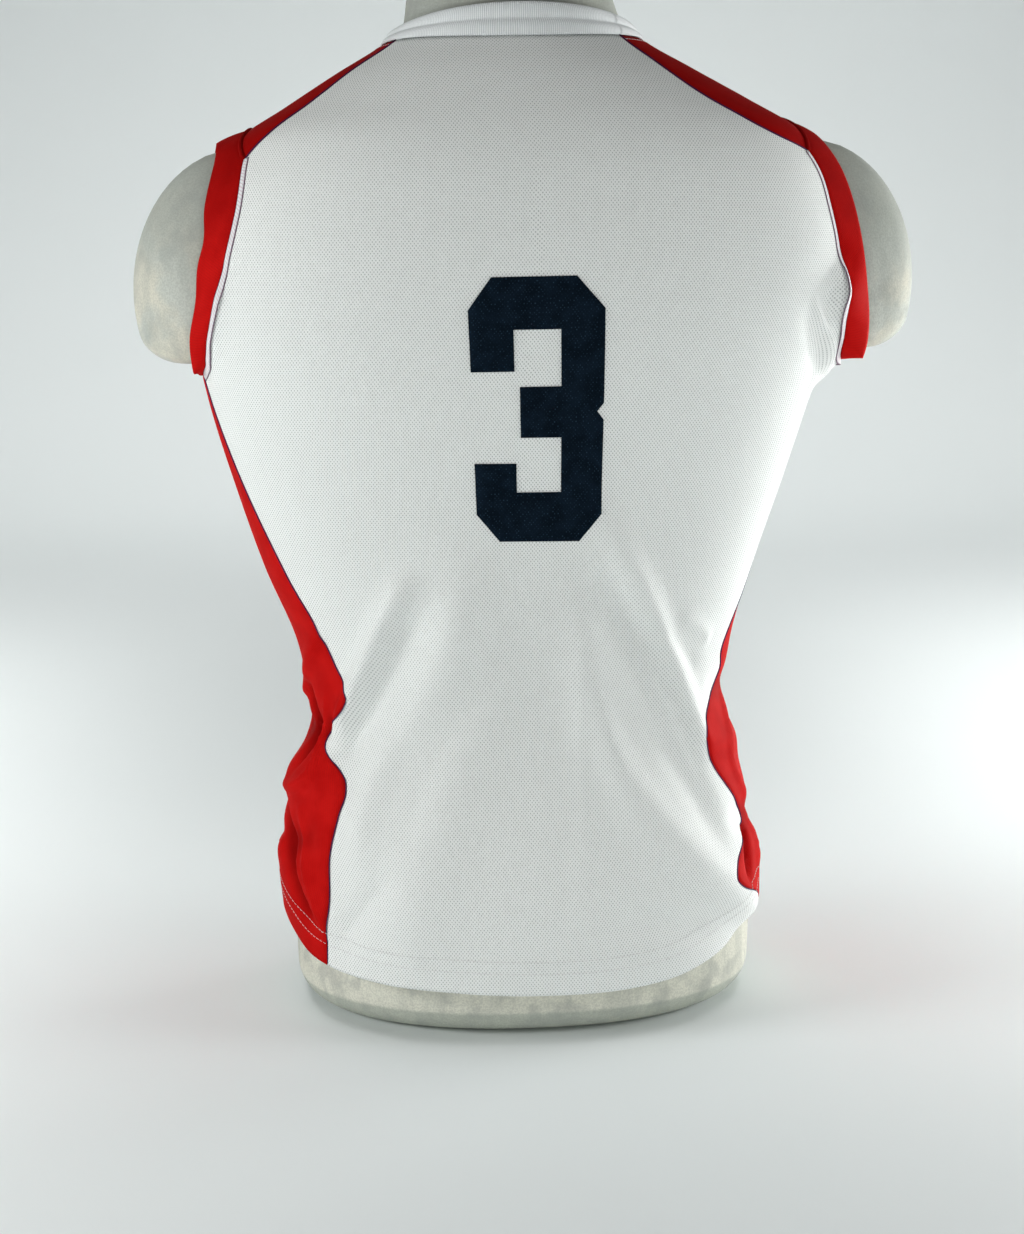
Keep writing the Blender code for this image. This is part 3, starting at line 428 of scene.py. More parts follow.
def crease_rise(turn, height):
    """How far the creases push the skin out, each a soft line through a few places."""
    rise = np.zeros(turn.shape)
    for most, left_width, right_width, *places in CREASES:
        rows = [(number, *place) for number, place in enumerate(places)]
        steps = np.linspace(0, len(places) - 1, CREASE_STEPS)
        turns, heights = smooth_table(rows, 1, steps), smooth_table(rows, 2, steps)
        line = np.stack([turns * TURN_SPAN, heights], axis=1)
        middle = places[len(places) // 2][0]
        spots = np.stack([((turn - middle + 180) % 360 - 180 + middle) * TURN_SPAN, height], axis=-1)
        reach = FOLD_REACH * max(left_width, right_width)
        near = ((spots > line.min(axis=0) - reach) & (spots < line.max(axis=0) + reach)).all(axis=-1)
        gaps = spots[near][:, None] - line[None]
        nearest = (gaps**2).sum(axis=-1).argmin(axis=1)
        gap = gaps[np.arange(len(gaps)), nearest]
        ahead = np.gradient(line, axis=0)[nearest]
        length = np.linalg.norm(ahead, axis=1)
        off = (ahead[:, 1] * gap[:, 0] - ahead[:, 0] * gap[:, 1]) / length
        along = (nearest + (gap * ahead).sum(axis=1) / length**2) / (CREASE_STEPS - 1)
        width = np.where(off > 0, left_width, right_width)
        ends = soft_step(np.minimum(along, 1 - along) / FOLD_FADE + CREASE_START, 0, 1)
        rise[near] += most * np.exp(-((off / width) ** 2)) * ends
    return rise


def skin(turn, height):
    """Point of the jersey's outer face, with its folds and creases."""
    turn, height = np.broadcast_arrays(np.asarray(turn, float), np.asarray(height, float))
    plain = section_point(SKIN_SECTIONS, turn, height)
    ahead = section_point(SKIN_SECTIONS, turn + STEP_TURN, height) - plain
    out = unit(np.stack([-ahead[..., 1], ahead[..., 0], np.zeros_like(height)], axis=-1))
    rise = fold_rise(turn, height) + crease_rise(turn, height)
    return tilted(plain + out * rise[..., None])


def skin_normal(turn, height):
    here = skin(turn, height)
    return unit(np.cross(skin(turn, height + STEP_UP) - here, skin(turn + STEP_TURN, height) - here))


def on_skin(line):
    """Points and outward normals along a line of (turn, height)."""
    turn, height = line[:, 0], line[:, 1]
    return skin(turn, height), skin_normal(turn, height)


class Weave:
    """Where each place on the skin lies on the flat cloth, in metres across and along the grain."""

    def __init__(self, middle):
        self.turns = middle + np.arange(-GRAIN_TURNS, GRAIN_TURNS + 1, 1.0)
        self.heights = np.arange(0.0, GRAIN_TOP, GRAIN_STEP)
        points = section_point(SKIN_SECTIONS, self.turns[None, :], self.heights[:, None])
        round_it = np.linalg.norm(np.diff(points, axis=1), axis=2)
        across = np.concatenate([np.zeros((len(points), 1)), np.cumsum(round_it, axis=1)], axis=1)
        self.across = across - across[:, [GRAIN_TURNS]]
        rise = np.linalg.norm(np.diff(points[:, GRAIN_TURNS], axis=0), axis=1)
        self.along = np.concatenate([[0], np.cumsum(rise)])

    def lay(self, turn, height):
        column = np.clip(turn - self.turns[0], 0, len(self.turns) - GRAIN_END)
        row = np.clip((height - self.heights[0]) / GRAIN_STEP, 0, len(self.heights) - GRAIN_END)
        low_column, low_row = column.astype(int), row.astype(int)
        part, up = column - low_column, row - low_row
        across = (
            (1 - up) * (1 - part) * self.across[low_row, low_column]
            + (1 - up) * part * self.across[low_row, low_column + 1]
            + up * (1 - part) * self.across[low_row + 1, low_column]
            + up * part * self.across[low_row + 1, low_column + 1]
        )
        return np.stack([across, np.interp(height, self.heights, self.along)], axis=-1)


# ---- edges of the pieces, as (turn, height)


def steps_between(start, end, steps):
    return np.linspace(start, end, steps + 1)


def height_rule(table):
    """Height at each turn, for a hem or neck that goes all the way round."""
    return lambda turns: smooth_table(table, 1, (np.asarray(turns) + 180) % 360 - 180)


hem_height = height_rule(HEM)
neck_height = height_rule(NECK)


def even_edge(table, side, bottom, top, steps):
    """Up a seam, in even steps along the skin."""
    heights = steps_between(bottom, top, EDGE_SAMPLES)
    turns = side * smooth_table(table, 1, heights)
    stretches = np.linalg.norm(np.diff(skin(turns, heights), axis=0), axis=1)
    length = np.concatenate([[0], np.cumsum(stretches)])
    even = steps_between(0, length[-1], steps)
    return np.stack([np.interp(even, length, turns), np.interp(even, length, heights)], axis=1)


def side_seam(seam, side):
    foot = HEM[0][1]
    for _ in range(FITTING_ROUNDS):
        foot = float(hem_height(side * smooth_table(seam, 1, foot)))
    heights = steps_between(foot, ARMPIT_HEIGHT, SIDE_STEPS)
    return np.stack([side * smooth_table(seam, 1, heights), heights], axis=1)


def armhole_edge(tables, side):
    return even_edge(tables[side], side, ARMPIT_HEIGHT, SHOULDER_CORNER_HEIGHT, ARMHOLE_STEPS)


def shoulder_seam(tables, side):
    top = tables[side][-1][0]
    for _ in range(FITTING_ROUNDS):
        top = float(neck_height(side * smooth_table(tables[side], 1, top)))
    return even_edge(tables[side], side, tables[side][0][0], top, SHOULDER_STEPS)


def level_edge(first, last, steps, rule):
    turns = steps_between(first, last, steps)
    return np.stack([turns, rule(turns)], axis=1)


def armpit_edge(side):
    turns = steps_between(ARMHOLE_BACK[side][0][1], ARMHOLE_FRONT[side][0][1], SIDE_PANEL_STEPS)
    return np.stack([side * turns, np.full(len(turns), ARMPIT_HEIGHT)], axis=1)


def strip_armhole_edge(side):
    """The strip's armhole end, which rises to the ridge of the shoulder."""
    first, last = BACK_SHOULDER_SEAM[side][0][1], FRONT_SHOULDER_SEAM[side][0][1]
    arch = np.sin(steps_between(0, np.pi, STRIP_STEPS))
    heights = SHOULDER_CORNER_HEIGHT + (SHOULDER_TOP_HEIGHT[side] - SHOULDER_CORNER_HEIGHT) * arch
    return np.stack([side * steps_between(first, last, STRIP_STEPS), heights], axis=1)


def edge_up(seam, armhole, shoulder, side, past=0):
    """Up a panel's whole side: side seam, armhole, then shoulder seam."""
    return np.concatenate([
        side_seam(seam, side), armhole_edge(armhole, side)[1:], shoulder_seam(shoulder, side)[1:],
    ]) + [past, 0]


def spread(lower, upper, first, last, up):
    """A patch of (turn, height) between four edges, where up is how far up each row lies."""
    across = np.linspace(0, 1, len(lower))[None, :, None]
    up = np.asarray(up)[:, None, None]
    lower[0], lower[-1], upper[0], upper[-1] = first[0], last[0], first[-1], last[-1]
    ruled = (1 - up) * lower[None] + up * upper[None]
    sides = (1 - across) * first[:, None] + across * last[:, None]
    corners = (1 - up) * ((1 - across) * lower[0] + across * lower[-1]) + up * (
        (1 - across) * upper[0] + across * upper[-1]
    )
    return ruled + sides - corners


# ---- finishes


class Shade:
    """A node's socket that Python's arithmetic works on."""

    def __init__(self, finish, socket):
        self.finish, self.socket = finish, socket

    def maths(self, operation, *values):
        return self.finish.node("ShaderNodeMath", {"operation": operation}, dict(enumerate(values)))

    def __add__(self, other):
        return self.maths("ADD", self, other)

    def __sub__(self, other):
        return self.maths("SUBTRACT", self, other)

    def __mul__(self, other):
        return self.maths("MULTIPLY", self, other)

    def __rsub__(self, other):
        return self.maths("SUBTRACT", other, self)

    __radd__ = __add__
    __rmul__ = __mul__

    def cosine(self):
        return self.maths("COSINE", self)

    def step(self, low, high):
        """0 below low, 1 above high, and smooth between."""
        return self.finish.node(
            "ShaderNodeMapRange",
            {"interpolation_type": "SMOOTHSTEP"},
            {"Value": self, "From Min": low, "From Max": high},
        )


class Finish:
    """One material, built from nodes."""

    def __init__(self, name, roughness, shine=0.08):
        self.material = bpy.data.materials.new(name)
        self.material.use_nodes = True
        self.tree = self.material.node_tree
        self.shader = self.tree.nodes["Principled BSDF"]
        self.shader.inputs["Roughness"].default_value = roughness
        self.shader.inputs["Specular IOR Level"].default_value = shine

    def node(self, kind, settings, sockets, output=0):
        made = self.tree.nodes.new(kind)
        for key, value in settings.items():
            setattr(made, key, value)
        for key, value in sockets.items():
            if isinstance(value, Shade):
                self.tree.links.new(value.socket, made.inputs[key])
            else:
                made.inputs[key].default_value = value
        return Shade(self, made.outputs[output])

    def weave(self):
        """The flat cloth's place, in metres across and along the grain."""
        place = self.node("ShaderNodeUVMap", {"uv_map": "weave"}, {})
        across, along, _ = self.parts(place)
        return place, across, along

    def parts(self, vector):
        return [self.node("ShaderNodeSeparateXYZ", {}, {0: vector}, output) for output in range(3)]

    def place(self):
        return self.node("ShaderNodeTexCoord", {}, {}, "Object")

    def noise(self, place, scale, detail):
        sockets = {"Vector": place, "Scale": scale, "Detail": detail}
        return self.node("ShaderNodeTexNoise", {}, sockets, "Fac")

    def blend(self, share, first, second):
        """A colour between two others."""
        return self.node("ShaderNodeMix", {"data_type": "RGBA"}, {0: share, 6: first, 7: second}, 2)

    def bump(self, height, distance, strength):
        sockets = {"Height": height, "Distance": distance, "Strength": strength}
        return self.node("ShaderNodeBump", {}, sockets)

    def put(self, socket, value):
        self.tree.links.new(value.socket, self.shader.inputs[socket])


def rgb(red, green, blue):
    return (red, green, blue, 1.0)


MESH_WHITE = rgb(0.860, 0.885, 0.872)
# The eyelets' grey is partly the form seen through them and partly painted shade inside them.
MESH_EYELET = rgb(0.340, 0.365, 0.360)
# The first red pair is the knit as lit low down; the second is a darker copy, painted shade for the
# tops over the shoulders.
RED_LIT_LOW = rgb(0.47, 0.0045, 0.0040), rgb(0.55, 0.0075, 0.0065)
RED_SHADED_HIGH = rgb(0.29, 0.0020, 0.0018), rgb(0.34, 0.0030, 0.0025)
# Painted shade for the red where folds and creases sink.
RED_HOLLOW_SHADE = rgb(0.19, 0.0010, 0.0010)
# Painted shade in the red knit's eyelets.
RED_EYELET = rgb(0.22, 0.0015, 0.0015)
# Painted shade in the rib's grooves, and the lit ridges.
RIB_GROOVE_SHADE = rgb(0.62, 0.66, 0.67)
RIB_RIDGE_LIT = rgb(0.90, 0.93, 0.94)
INK = rgb(0.0022, 0.0062, 0.012), rgb(0.0042, 0.0105, 0.020)
INK_WORN = rgb(0.022, 0.045, 0.070)
COVER = rgb(0.56, 0.59, 0.54), rgb(0.66, 0.645, 0.55)
# Painted shade for the cover over the shoulders.
COVER_SHADED_SHOULDERS = rgb(0.40, 0.43, 0.39)
# Painted light for the cover towards the foot.
COVER_LIT_FOOT = rgb(0.74, 0.74, 0.64)
# Painted shadow for the band along the form's rounded-in base.
COVER_RIM_SHADE = rgb(0.50, 0.53, 0.46)
COVER_STREAK = rgb(0.36, 0.38, 0.35)
COVER_SPECK = rgb(0.25, 0.26, 0.24)
COVER_SMUDGE = rgb(0.33, 0.35, 0.33)
TAPE_WHITE = rgb(0.80, 0.80, 0.82)
TAPE_PINK = rgb(0.62, 0.46, 0.50)
FLOOR_PAINT = rgb(0.85, 0.90, 0.905), rgb(0.88, 0.925, 0.93)
WHITE_THREAD = rgb(0.80, 0.80, 0.80)
NAVY_THREAD = rgb(0.030, 0.020, 0.090)
PURPLE_THREAD = rgb(0.22, 0.14, 0.20)
THREAD_DARK = 0.7

# Spacing of the eyelets, the ribs and the tape's threads
MESH_EYELETS = 0.0021, 0.0026
RED_EYELETS = 0.0016, 0.0018
EYELET_EDGE = 0.25, 0.80
RIB_SPACING = 0.0013
COURSE_SPACING = 0.0011
TAPE_THREADS = 0.0022


def wave(place, spacing):
    """A cosine that repeats at a spacing along the cloth."""
    return (place * (2 * math.pi / spacing)).cosine()


def eyelets(across, along, wide, tall):
    """How near each place is to the middle of an eyelet, on staggered rows."""
    return (wave(across, wide) * wave(along, tall)).step(*EYELET_EDGE)


def white_mesh():
    finish = Finish("white_mesh", 0.75, 0.12)
    place, across, along = finish.weave()
    holes = eyelets(across, along, *MESH_EYELETS)
    uneven = finish.noise(place, 900.0, 1.0)
    depth = holes * (0.35 + uneven)
    # The eyelets are painted grey: partly the form seen through them, partly painted shade inside
    # them.
    finish.put("Base Color", finish.blend(depth, MESH_WHITE, MESH_EYELET))
    finish.put("Normal", finish.bump(1 - depth, 0.0003, 0.5))
    return finish.material


def red_knit():
    """Red eyelet knit with painted shade: darker with height over the shoulders, darker in the hollows
    where folds sink, and darker in the eyelets.
    """
    finish = Finish("red_knit", 0.7, 0.02)
    place, across, along = finish.weave()
    _, _, height = finish.parts(finish.place())
    holes = eyelets(across + along * 0.5, along, *RED_EYELETS)
    cloudy = finish.noise(place, 60.0, 3.0)
    # The lit red, and a darker copy painted as shade on the tops, blended in with height over the
    # shoulders.
    lit = finish.blend(cloudy.step(0.3, 0.7), *RED_LIT_LOW)
    deep = finish.blend(cloudy.step(0.3, 0.7), *RED_SHADED_HIGH)
    knit = finish.blend(height.step(0.46, 0.53), lit, deep)
    hollow_shade = finish.node("ShaderNodeAttribute", {"attribute_name": "hollow_shade"}, {}, "Fac")
    # Painted shade in the hollows that the folds and creases sink into.
    knit = finish.blend(hollow_shade, knit, RED_HOLLOW_SHADE)
    # The eyelets are painted darker red, as shade inside them.
    finish.put("Base Color", finish.blend(holes * 0.35, knit, RED_EYELET))
    finish.put("Normal", finish.bump(1 - holes, 0.00025, 0.4))
    return finish.material


def white_rib():
    finish = Finish("white_rib", 0.8, 0.12)
    _, across, along = finish.weave()
    rib = wave(across, RIB_SPACING) * 0.5 + 0.5
    course = wave(along, COURSE_SPACING) * 0.5 + 0.5
    raised = rib * (0.8 + 0.2 * course)
    # The grooves are painted grey as shade, and the ridges are lit white.
    finish.put("Base Color", finish.blend(raised, RIB_GROOVE_SHADE, RIB_RIDGE_LIT))
    finish.put("Normal", finish.bump(raised, 0.0004, 0.6))
    return finish.material


def navy_print():
    finish = Finish("navy_print", 0.65, 0.02)
    place, across, along = finish.weave()
    holes = eyelets(across, along, *MESH_EYELETS)
    speckle = finish.noise(place, 700.0, 2.0).step(0.46, 0.66)
    worn = holes * speckle
    streak = finish.noise(place, 90.0, 3.0).step(0.35, 0.65)
    ink = finish.blend(streak, *INK)
    finish.put("Base Color", finish.blend(worn, ink, INK_WORN))
    finish.put("Normal", finish.bump(1 - holes, 0.00025, 0.5))
    return finish.material


def form_cover():
    """Old cloth with faint upright streaks and smudges; greyer over the shoulders as painted shade,
    paler towards the foot as painted light, and with a painted shadow in a band along the base.
    """
    finish = Finish("form_cover", 0.85, 0.1)
    place = finish.place()
    _, _, height = finish.parts(place)
    drawn = finish.node("ShaderNodeMapping", {}, {"Vector": place, "Scale": (1.0, 1.0, 0.22)})
    streaks = finish.noise(drawn, 80.0, 4.0).step(0.42, 0.62)
    cloudy = finish.noise(place, 26.0, 4.0).step(0.40, 0.60)
    smudge = finish.noise(place, 60.0, 5.0).step(0.50, 0.66)
    fine = finish.noise(place, 900.0, 2.0)
    cloth = finish.blend(cloudy, *COVER)
    # Painted shade: greyer with height over the shoulders.
    cloth = finish.blend(height.step(0.45, 0.50) * 0.8, cloth, COVER_SHADED_SHOULDERS)
    # Painted light: paler from the middle down to the foot.
    cloth = finish.blend(height.step(0.05, 0.20), COVER_LIT_FOOT, cloth)
    # Painted shadow in a band along the base, below the stitch line.
    cloth = finish.blend(height.step(0.014, 0.017), COVER_RIM_SHADE, cloth)
    cloth = finish.blend(streaks * 0.30, cloth, COVER_STREAK)
    cloth = finish.blend(fine.step(0.35, 0.65) * 0.28, cloth, COVER_SPECK)
    finish.put("Base Color", finish.blend(smudge * 0.40, cloth, COVER_SMUDGE))
    finish.put("Normal", finish.bump(fine + streaks * 0.4, 0.0004, 0.6))
    return finish.material


def tape_finish():
    """The white tape along the armhole, crossed by slanting pink threads."""
    finish = Finish("seam_tape", 0.7)
    _, across, along = finish.weave()
    threads = wave(along + across * 0.6, TAPE_THREADS).step(0.2, 0.9)
    finish.put("Base Color", finish.blend(threads * 0.6, TAPE_WHITE, TAPE_PINK))
    finish.put("Normal", finish.bump(threads, 0.0003, 0.5))
    return finish.material


def thread_finish(name, colour):
    finish = Finish(name, 0.6)
    place = finish.place()
    twist = finish.noise(place, 1800.0, 1.0)
    dark = rgb(*(channel * THREAD_DARK for channel in colour[:3]))
    finish.put("Base Color", finish.blend(twist, dark, colour))
    finish.put("Normal", finish.bump(twist, 0.0001, 0.5))
    return finish.material


def floor_finish():
    finish = Finish("pale_floor", 0.85)
    cloudy = finish.noise(finish.place(), 1.5, 2.0)
    finish.put("Base Color", finish.blend(cloudy, *FLOOR_PAINT))
    return finish.material


# ---- making meshes


def mesh_object(name, points, faces, material, lay=None):
    """A named mesh that rides on the object's one body."""
    mesh = bpy.data.meshes.new(name)
    mesh.from_pydata(np.asarray(points).reshape(-1, 3).tolist(), [], faces)
    if lay is not None:
        corners = np.zeros(len(mesh.loops), np.int32)
        mesh.loops.foreach_get("vertex_index", corners)
        flat = mesh.uv_layers.new(name="weave")
        flat.data.foreach_set("uv", np.asarray(lay).reshape(-1, 2)[corners].astype(np.float32).ravel())
    mesh.shade_smooth()
    mesh.materials.append(material)
    made = bpy.data.objects.new(name, mesh)
    bpy.context.scene.collection.objects.link(made)
    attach(made, "root")
    return made


def grid_faces(rows, columns, ring=False, flip=False):
    wide = columns if ring else columns - 1
    row, column = np.meshgrid(np.arange(rows - 1), np.arange(wide), indexing="ij")
    after = (column + 1) % columns
    here, above = row * columns, (row + 1) * columns
    corners = np.stack([here + column, above + column, above + after, here + after], axis=-1)
    corners = corners.reshape(-1, 4)
    return (corners[:, ::-1] if flip else corners).tolist()


def folded_faces(normals, ring=False, flip=False):
    """The grid's cells, each split in two along the way that its folds run."""
    cells = np.array(grid_faces(*normals.shape[:2], ring))
    lean = normals.reshape(-1, 3)[cells]
    split = (lean[:, 0] * lean[:, 2]).sum(axis=1) >= (lean[:, 1] * lean[:, 3]).sum(axis=1)
    cells = np.where(split[:, None], cells, np.roll(cells, 1, axis=1))
    halves = np.concatenate([cells[:, [0, 1, 2]], cells[:, [0, 2, 3]]])
    return (halves[:, ::-1] if flip else halves).tolist()


def grid_normals(points, ring=False):
    """Unit normals of a grid of points, on the side that a ring's or a panel's faces point to."""
    if ring:
        along = np.roll(points, -1, axis=1) - np.roll(points, 1, axis=1)
    else:
        along = np.gradient(points, axis=1)
    return unit(np.cross(np.gradient(points, axis=0), along))


def edge_distance(points):
    """Distance of each grid point from the patch's nearest edge, along its row and column."""

    def both_ways(steps, axis):
        forward = np.cumsum(steps, axis=axis)
        return np.minimum(forward, np.take(forward, [-1], axis=axis) - forward)

    rows = np.linalg.norm(np.diff(points, axis=0, prepend=points[:1]), axis=2)
    columns = np.linalg.norm(np.diff(points, axis=1, prepend=points[:, :1]), axis=2)
    return np.minimum(both_ways(rows, 0), both_ways(columns, 1))


def add_wall(piece, thickness):
    wall = piece.modifiers.new("wall", "SOLIDIFY")
    wall.thickness = thickness
    wall.offset = -1
    wall.use_quality_normals = True


def outward(points, normals, middle):
    """Whether a grid's normals point away from a place inside it."""
    return ((points - middle) * normals).sum() > 0


def cloth(name, points, lay, material, slot, node, thickness=CLOTH, middle=None, ring=False):
    """A cloth wall whose outer face is a grid of points, in place of a CAD node."""
    normals = grid_normals(points, ring)
    inside = points.reshape(-1, 3).mean(axis=0) * [0, 0, 1] if middle is None else middle
    flip = not outward(points, normals, inside)
    piece = mesh_object(name, points, folded_faces(normals, ring, flip), material, lay)
    add_wall(piece, thickness)
    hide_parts(node)
    return piece


def tucked(patch, hem):
    """The skin over a patch, with its borders sunk into their seams and its hem doubled."""
    turn, height = patch[..., 0], patch[..., 1]
    points = skin(turn, height)
    near = np.clip(edge_distance(points) / TUCK_WIDTH, 0, 1)
    sink = TUCK * (1 - near) ** 2
    if hem:
        above = height - hem_height(turn)
        sink = np.where(above < HEM_DEPTH, sink * soft_step(above, 0, TUCK_WIDTH), sink)
        sink = sink - HEM_LIFT * (1 - soft_step(above, HEM_DEPTH - HEM_EDGE, HEM_DEPTH + HEM_EDGE))
    return points - skin_normal(turn, height) * sink[..., None]


# ---- the jersey's pieces


def panel(name, patch, middle, material, slot, node, hem=True):
    """A patch of the skin as one piece of cloth, woven outwards from a middle turn."""
    lay = Weave(middle).lay(patch[..., 0], patch[..., 1])
    return cloth(name, tucked(patch, hem), lay, material, slot, node)


def panel_patch(first, last, steps):
    lower = level_edge(first[0, 0], last[0, 0], steps, hem_height)
    upper = level_edge(first[-1, 0], last[-1, 0], steps, neck_height)
    up = (first[:, 1] - first[0, 1]) / (first[-1, 1] - first[0, 1])
    return spread(lower, upper, first, last, up)


def back_cloth(material):
    patch = panel_patch(
        edge_up(RIGHT_BACK_SEAM, ARMHOLE_BACK, BACK_SHOULDER_SEAM, -1),
        edge_up(LEFT_BACK_SEAM, ARMHOLE_BACK, BACK_SHOULDER_SEAM, 1),
        BACK_STEPS,
    )
    return panel("back_cloth", patch, 0, material, "white_mesh", "back_panel")


def front_cloth(material):
    patch = panel_patch(
        edge_up(FRONT_SEAM, ARMHOLE_FRONT, FRONT_SHOULDER_SEAM, 1),
        edge_up(FRONT_SEAM, ARMHOLE_FRONT, FRONT_SHOULDER_SEAM, -1, past=360),
        FRONT_STEPS,
    )
    return panel("front_cloth", patch, 180, material, "white_mesh", "front_panel")


def side_cloth(side, where, material):
    back, front = side_seam(BACK_SEAM[side], side), side_seam(FRONT_SEAM, side)
    lower = level_edge(back[0, 0], front[0, 0], SIDE_PANEL_STEPS, hem_height)
    patch = spread(lower, armpit_edge(side), back, front, steps_between(0, 1, SIDE_STEPS))
    piece = panel(f"side_cloth_{where}", patch, 90 * side, material, "red_knit", f"side_panel_{where}")
    turn, height = patch[..., 0], patch[..., 1]
    # How far the folds sink at each point, kept on the mesh for the red's painted shade in the
    # hollows.
    sunk = -fold_rise(turn, height) - crease_rise(turn, height)
    hollow_shade = HOLLOW_SHADE_SHARE * soft_step(sunk, *HOLLOW_SHADE_DEPTHS)
    piece.data.attributes.new("hollow_shade", "FLOAT", "POINT").data.foreach_set("value", hollow_shade.ravel())
    return piece


def strip_cloth(side, where, material):
    back, front = shoulder_seam(BACK_SHOULDER_SEAM, side), shoulder_seam(FRONT_SHOULDER_SEAM, side)
    neck = level_edge(back[-1, 0], front[-1, 0], STRIP_STEPS, neck_height)
    patch = spread(strip_armhole_edge(side), neck, back, front, steps_between(0, 1, SHOULDER_STEPS))
    return panel(
        f"strip_cloth_{where}", patch, 90 * side, material, "red_knit", f"shoulder_strip_{where}",
        hem=False,
    )


def armhole_loop(side):
    """Points of the armhole seam: up the back, over the shoulder and down the front."""
    loop = np.concatenate([
        armhole_edge(ARMHOLE_BACK, side)[:-1],
        strip_armhole_edge(side)[:-1],
        armhole_edge(ARMHOLE_FRONT, side)[:0:-1],
        armpit_edge(side)[:0:-1],
    ])
    return skin(loop[:, 0], loop[:, 1])


def cap_size(across):
    return np.sqrt(np.clip(1 - ((across - CAP_MIDDLE) / CAP_WIDE) ** 2, 0, 1))


def band_edge(side, seam):
    """The band's outer edge, which goes round the form's arm cap."""
    bearing = np.arctan2(seam[:, 1], seam[:, 2] - CAP_HEIGHT)
    reach = smooth_table(BAND_REACH[side], 1, np.degrees(bearing))
    size = cap_size(reach)
    height = CAP_HEIGHT + (CAP_TALL * size + BAND_CLEAR) * np.cos(bearing)
    edge = np.stack([
        side * reach + CAP_SHIFT,
        (CAP_DEEP * size + BAND_CLEAR) * np.sin(bearing),
        np.maximum(height, CAP_CUT - BAND_CLEAR),
    ], axis=1)
    return tilted(edge)


def ring_length(points):
    """Distance along a closed line of points, from its first."""
    return np.concatenate([[0], np.cumsum(np.linalg.norm(np.diff(points, axis=0), axis=1))])


def band_cloth(side, where, material):
    """The armhole band, a little full between its seam and its folded edge."""
    seam = armhole_loop(side)
    edge = band_edge(side, seam)
    share = steps_between(0, 1, BAND_STEPS)
    points = seam + (edge - seam) * share[:, None, None]
    normals = grid_normals(points, ring=True)
    middle = seam.mean(axis=0)
    if not outward(points, normals, middle):
        normals = -normals
    full = BAND_FULL * np.sin(np.pi * share) ** BAND_FULL_CURVE
    full = full - TUCK * np.exp(-((share / BAND_TUCK) ** 2))
    points = points + normals * full[:, None, None]
    along = ring_length(seam)
    wide = np.linalg.norm(edge - seam, axis=1)
    lay = np.stack([np.broadcast_to(along, points.shape[:2]), share[:, None] * wide], axis=-1)
    return cloth(
        f"band_cloth_{where}", points, lay, material, "red_knit", f"armhole_band_{where}",
        middle=middle, ring=True,
    )


def neck_corners(side):
    """Turns where the neck meets a strip's back seam and its front seam."""
    return [shoulder_seam(seams, side)[-1, 0] for seams in (BACK_SHOULDER_SEAM, FRONT_SHOULDER_SEAM)]


def neck_loop():
    """Turns and points of the neck seam, round from the right back corner."""
    (right_back, right_front), (left_back, left_front) = neck_corners(-1), neck_corners(1)
    corners = [right_back, left_back, left_front, 360 + right_front, 360 + right_back]
    steps = (BACK_STEPS, STRIP_STEPS, FRONT_STEPS, STRIP_STEPS)
    edges = [level_edge(*ends, neck_height) for ends in zip(corners, corners[1:], steps)]
    loop = np.concatenate([edge[:-1] for edge in edges])
    return loop[:, 0], skin(loop[:, 0], loop[:, 1])


COLLAR_PROFILE = (
    # share of the rise, swell outwards
    (-0.04, 0.0002), (0.00, 0.0007), (0.05, 0.0011), (0.12, 0.0014), (0.24, 0.0017),
    (0.36, 0.0014), (0.44, 0.0007), (0.49, -0.0002), (0.54, 0.0000), (0.62, 0.0006),
    (0.74, 0.0009), (0.86, 0.0008), (0.94, 0.0004), (0.985, -0.0002), (1.00, -0.0010),
)


def collar_cloth(material):
    turns, seam = neck_loop()
    centre = seam.mean(axis=0) * [1, 1, 0]
    inward = unit((centre - seam) * [1, 1, 0])
    nape_share = (1 + np.cos(2 * np.radians(turns))) / 2
    rise = COLLAR_SIDE_RISE + (COLLAR_NAPE_RISE - COLLAR_SIDE_RISE) * nape_share
    lean = COLLAR_SIDE_LEAN + (COLLAR_NAPE_LEAN - COLLAR_SIDE_LEAN) * nape_share
    top = seam + inward * lean[:, None] + rise[:, None] * np.array([0, 0, 1])
    share, swell = np.array(COLLAR_PROFILE).T
    points = seam + (top - seam) * share[:, None, None] - inward * swell[:, None, None]
    along = ring_length(seam)
    lay = np.stack([np.broadcast_to(along, points.shape[:2]), share[:, None] * rise], axis=-1)
    return cloth(
        "collar_cloth", points, lay, material, "white_rib", "collar_band",
        thickness=RIB, middle=seam.mean(axis=0), ring=True,
    )


# ---- the number


def turn_at(across, height):
    """Turn on the back where the skin lies a given distance to the wearer's left."""
    half_width, shift, square = (smooth_table(SKIN_SECTIONS, column, height) for column in (1, 2, 5))
    share = (across - shift) / half_width
    return np.degrees(np.arcsin(np.sign(share) * np.abs(share) ** (square / 2)))


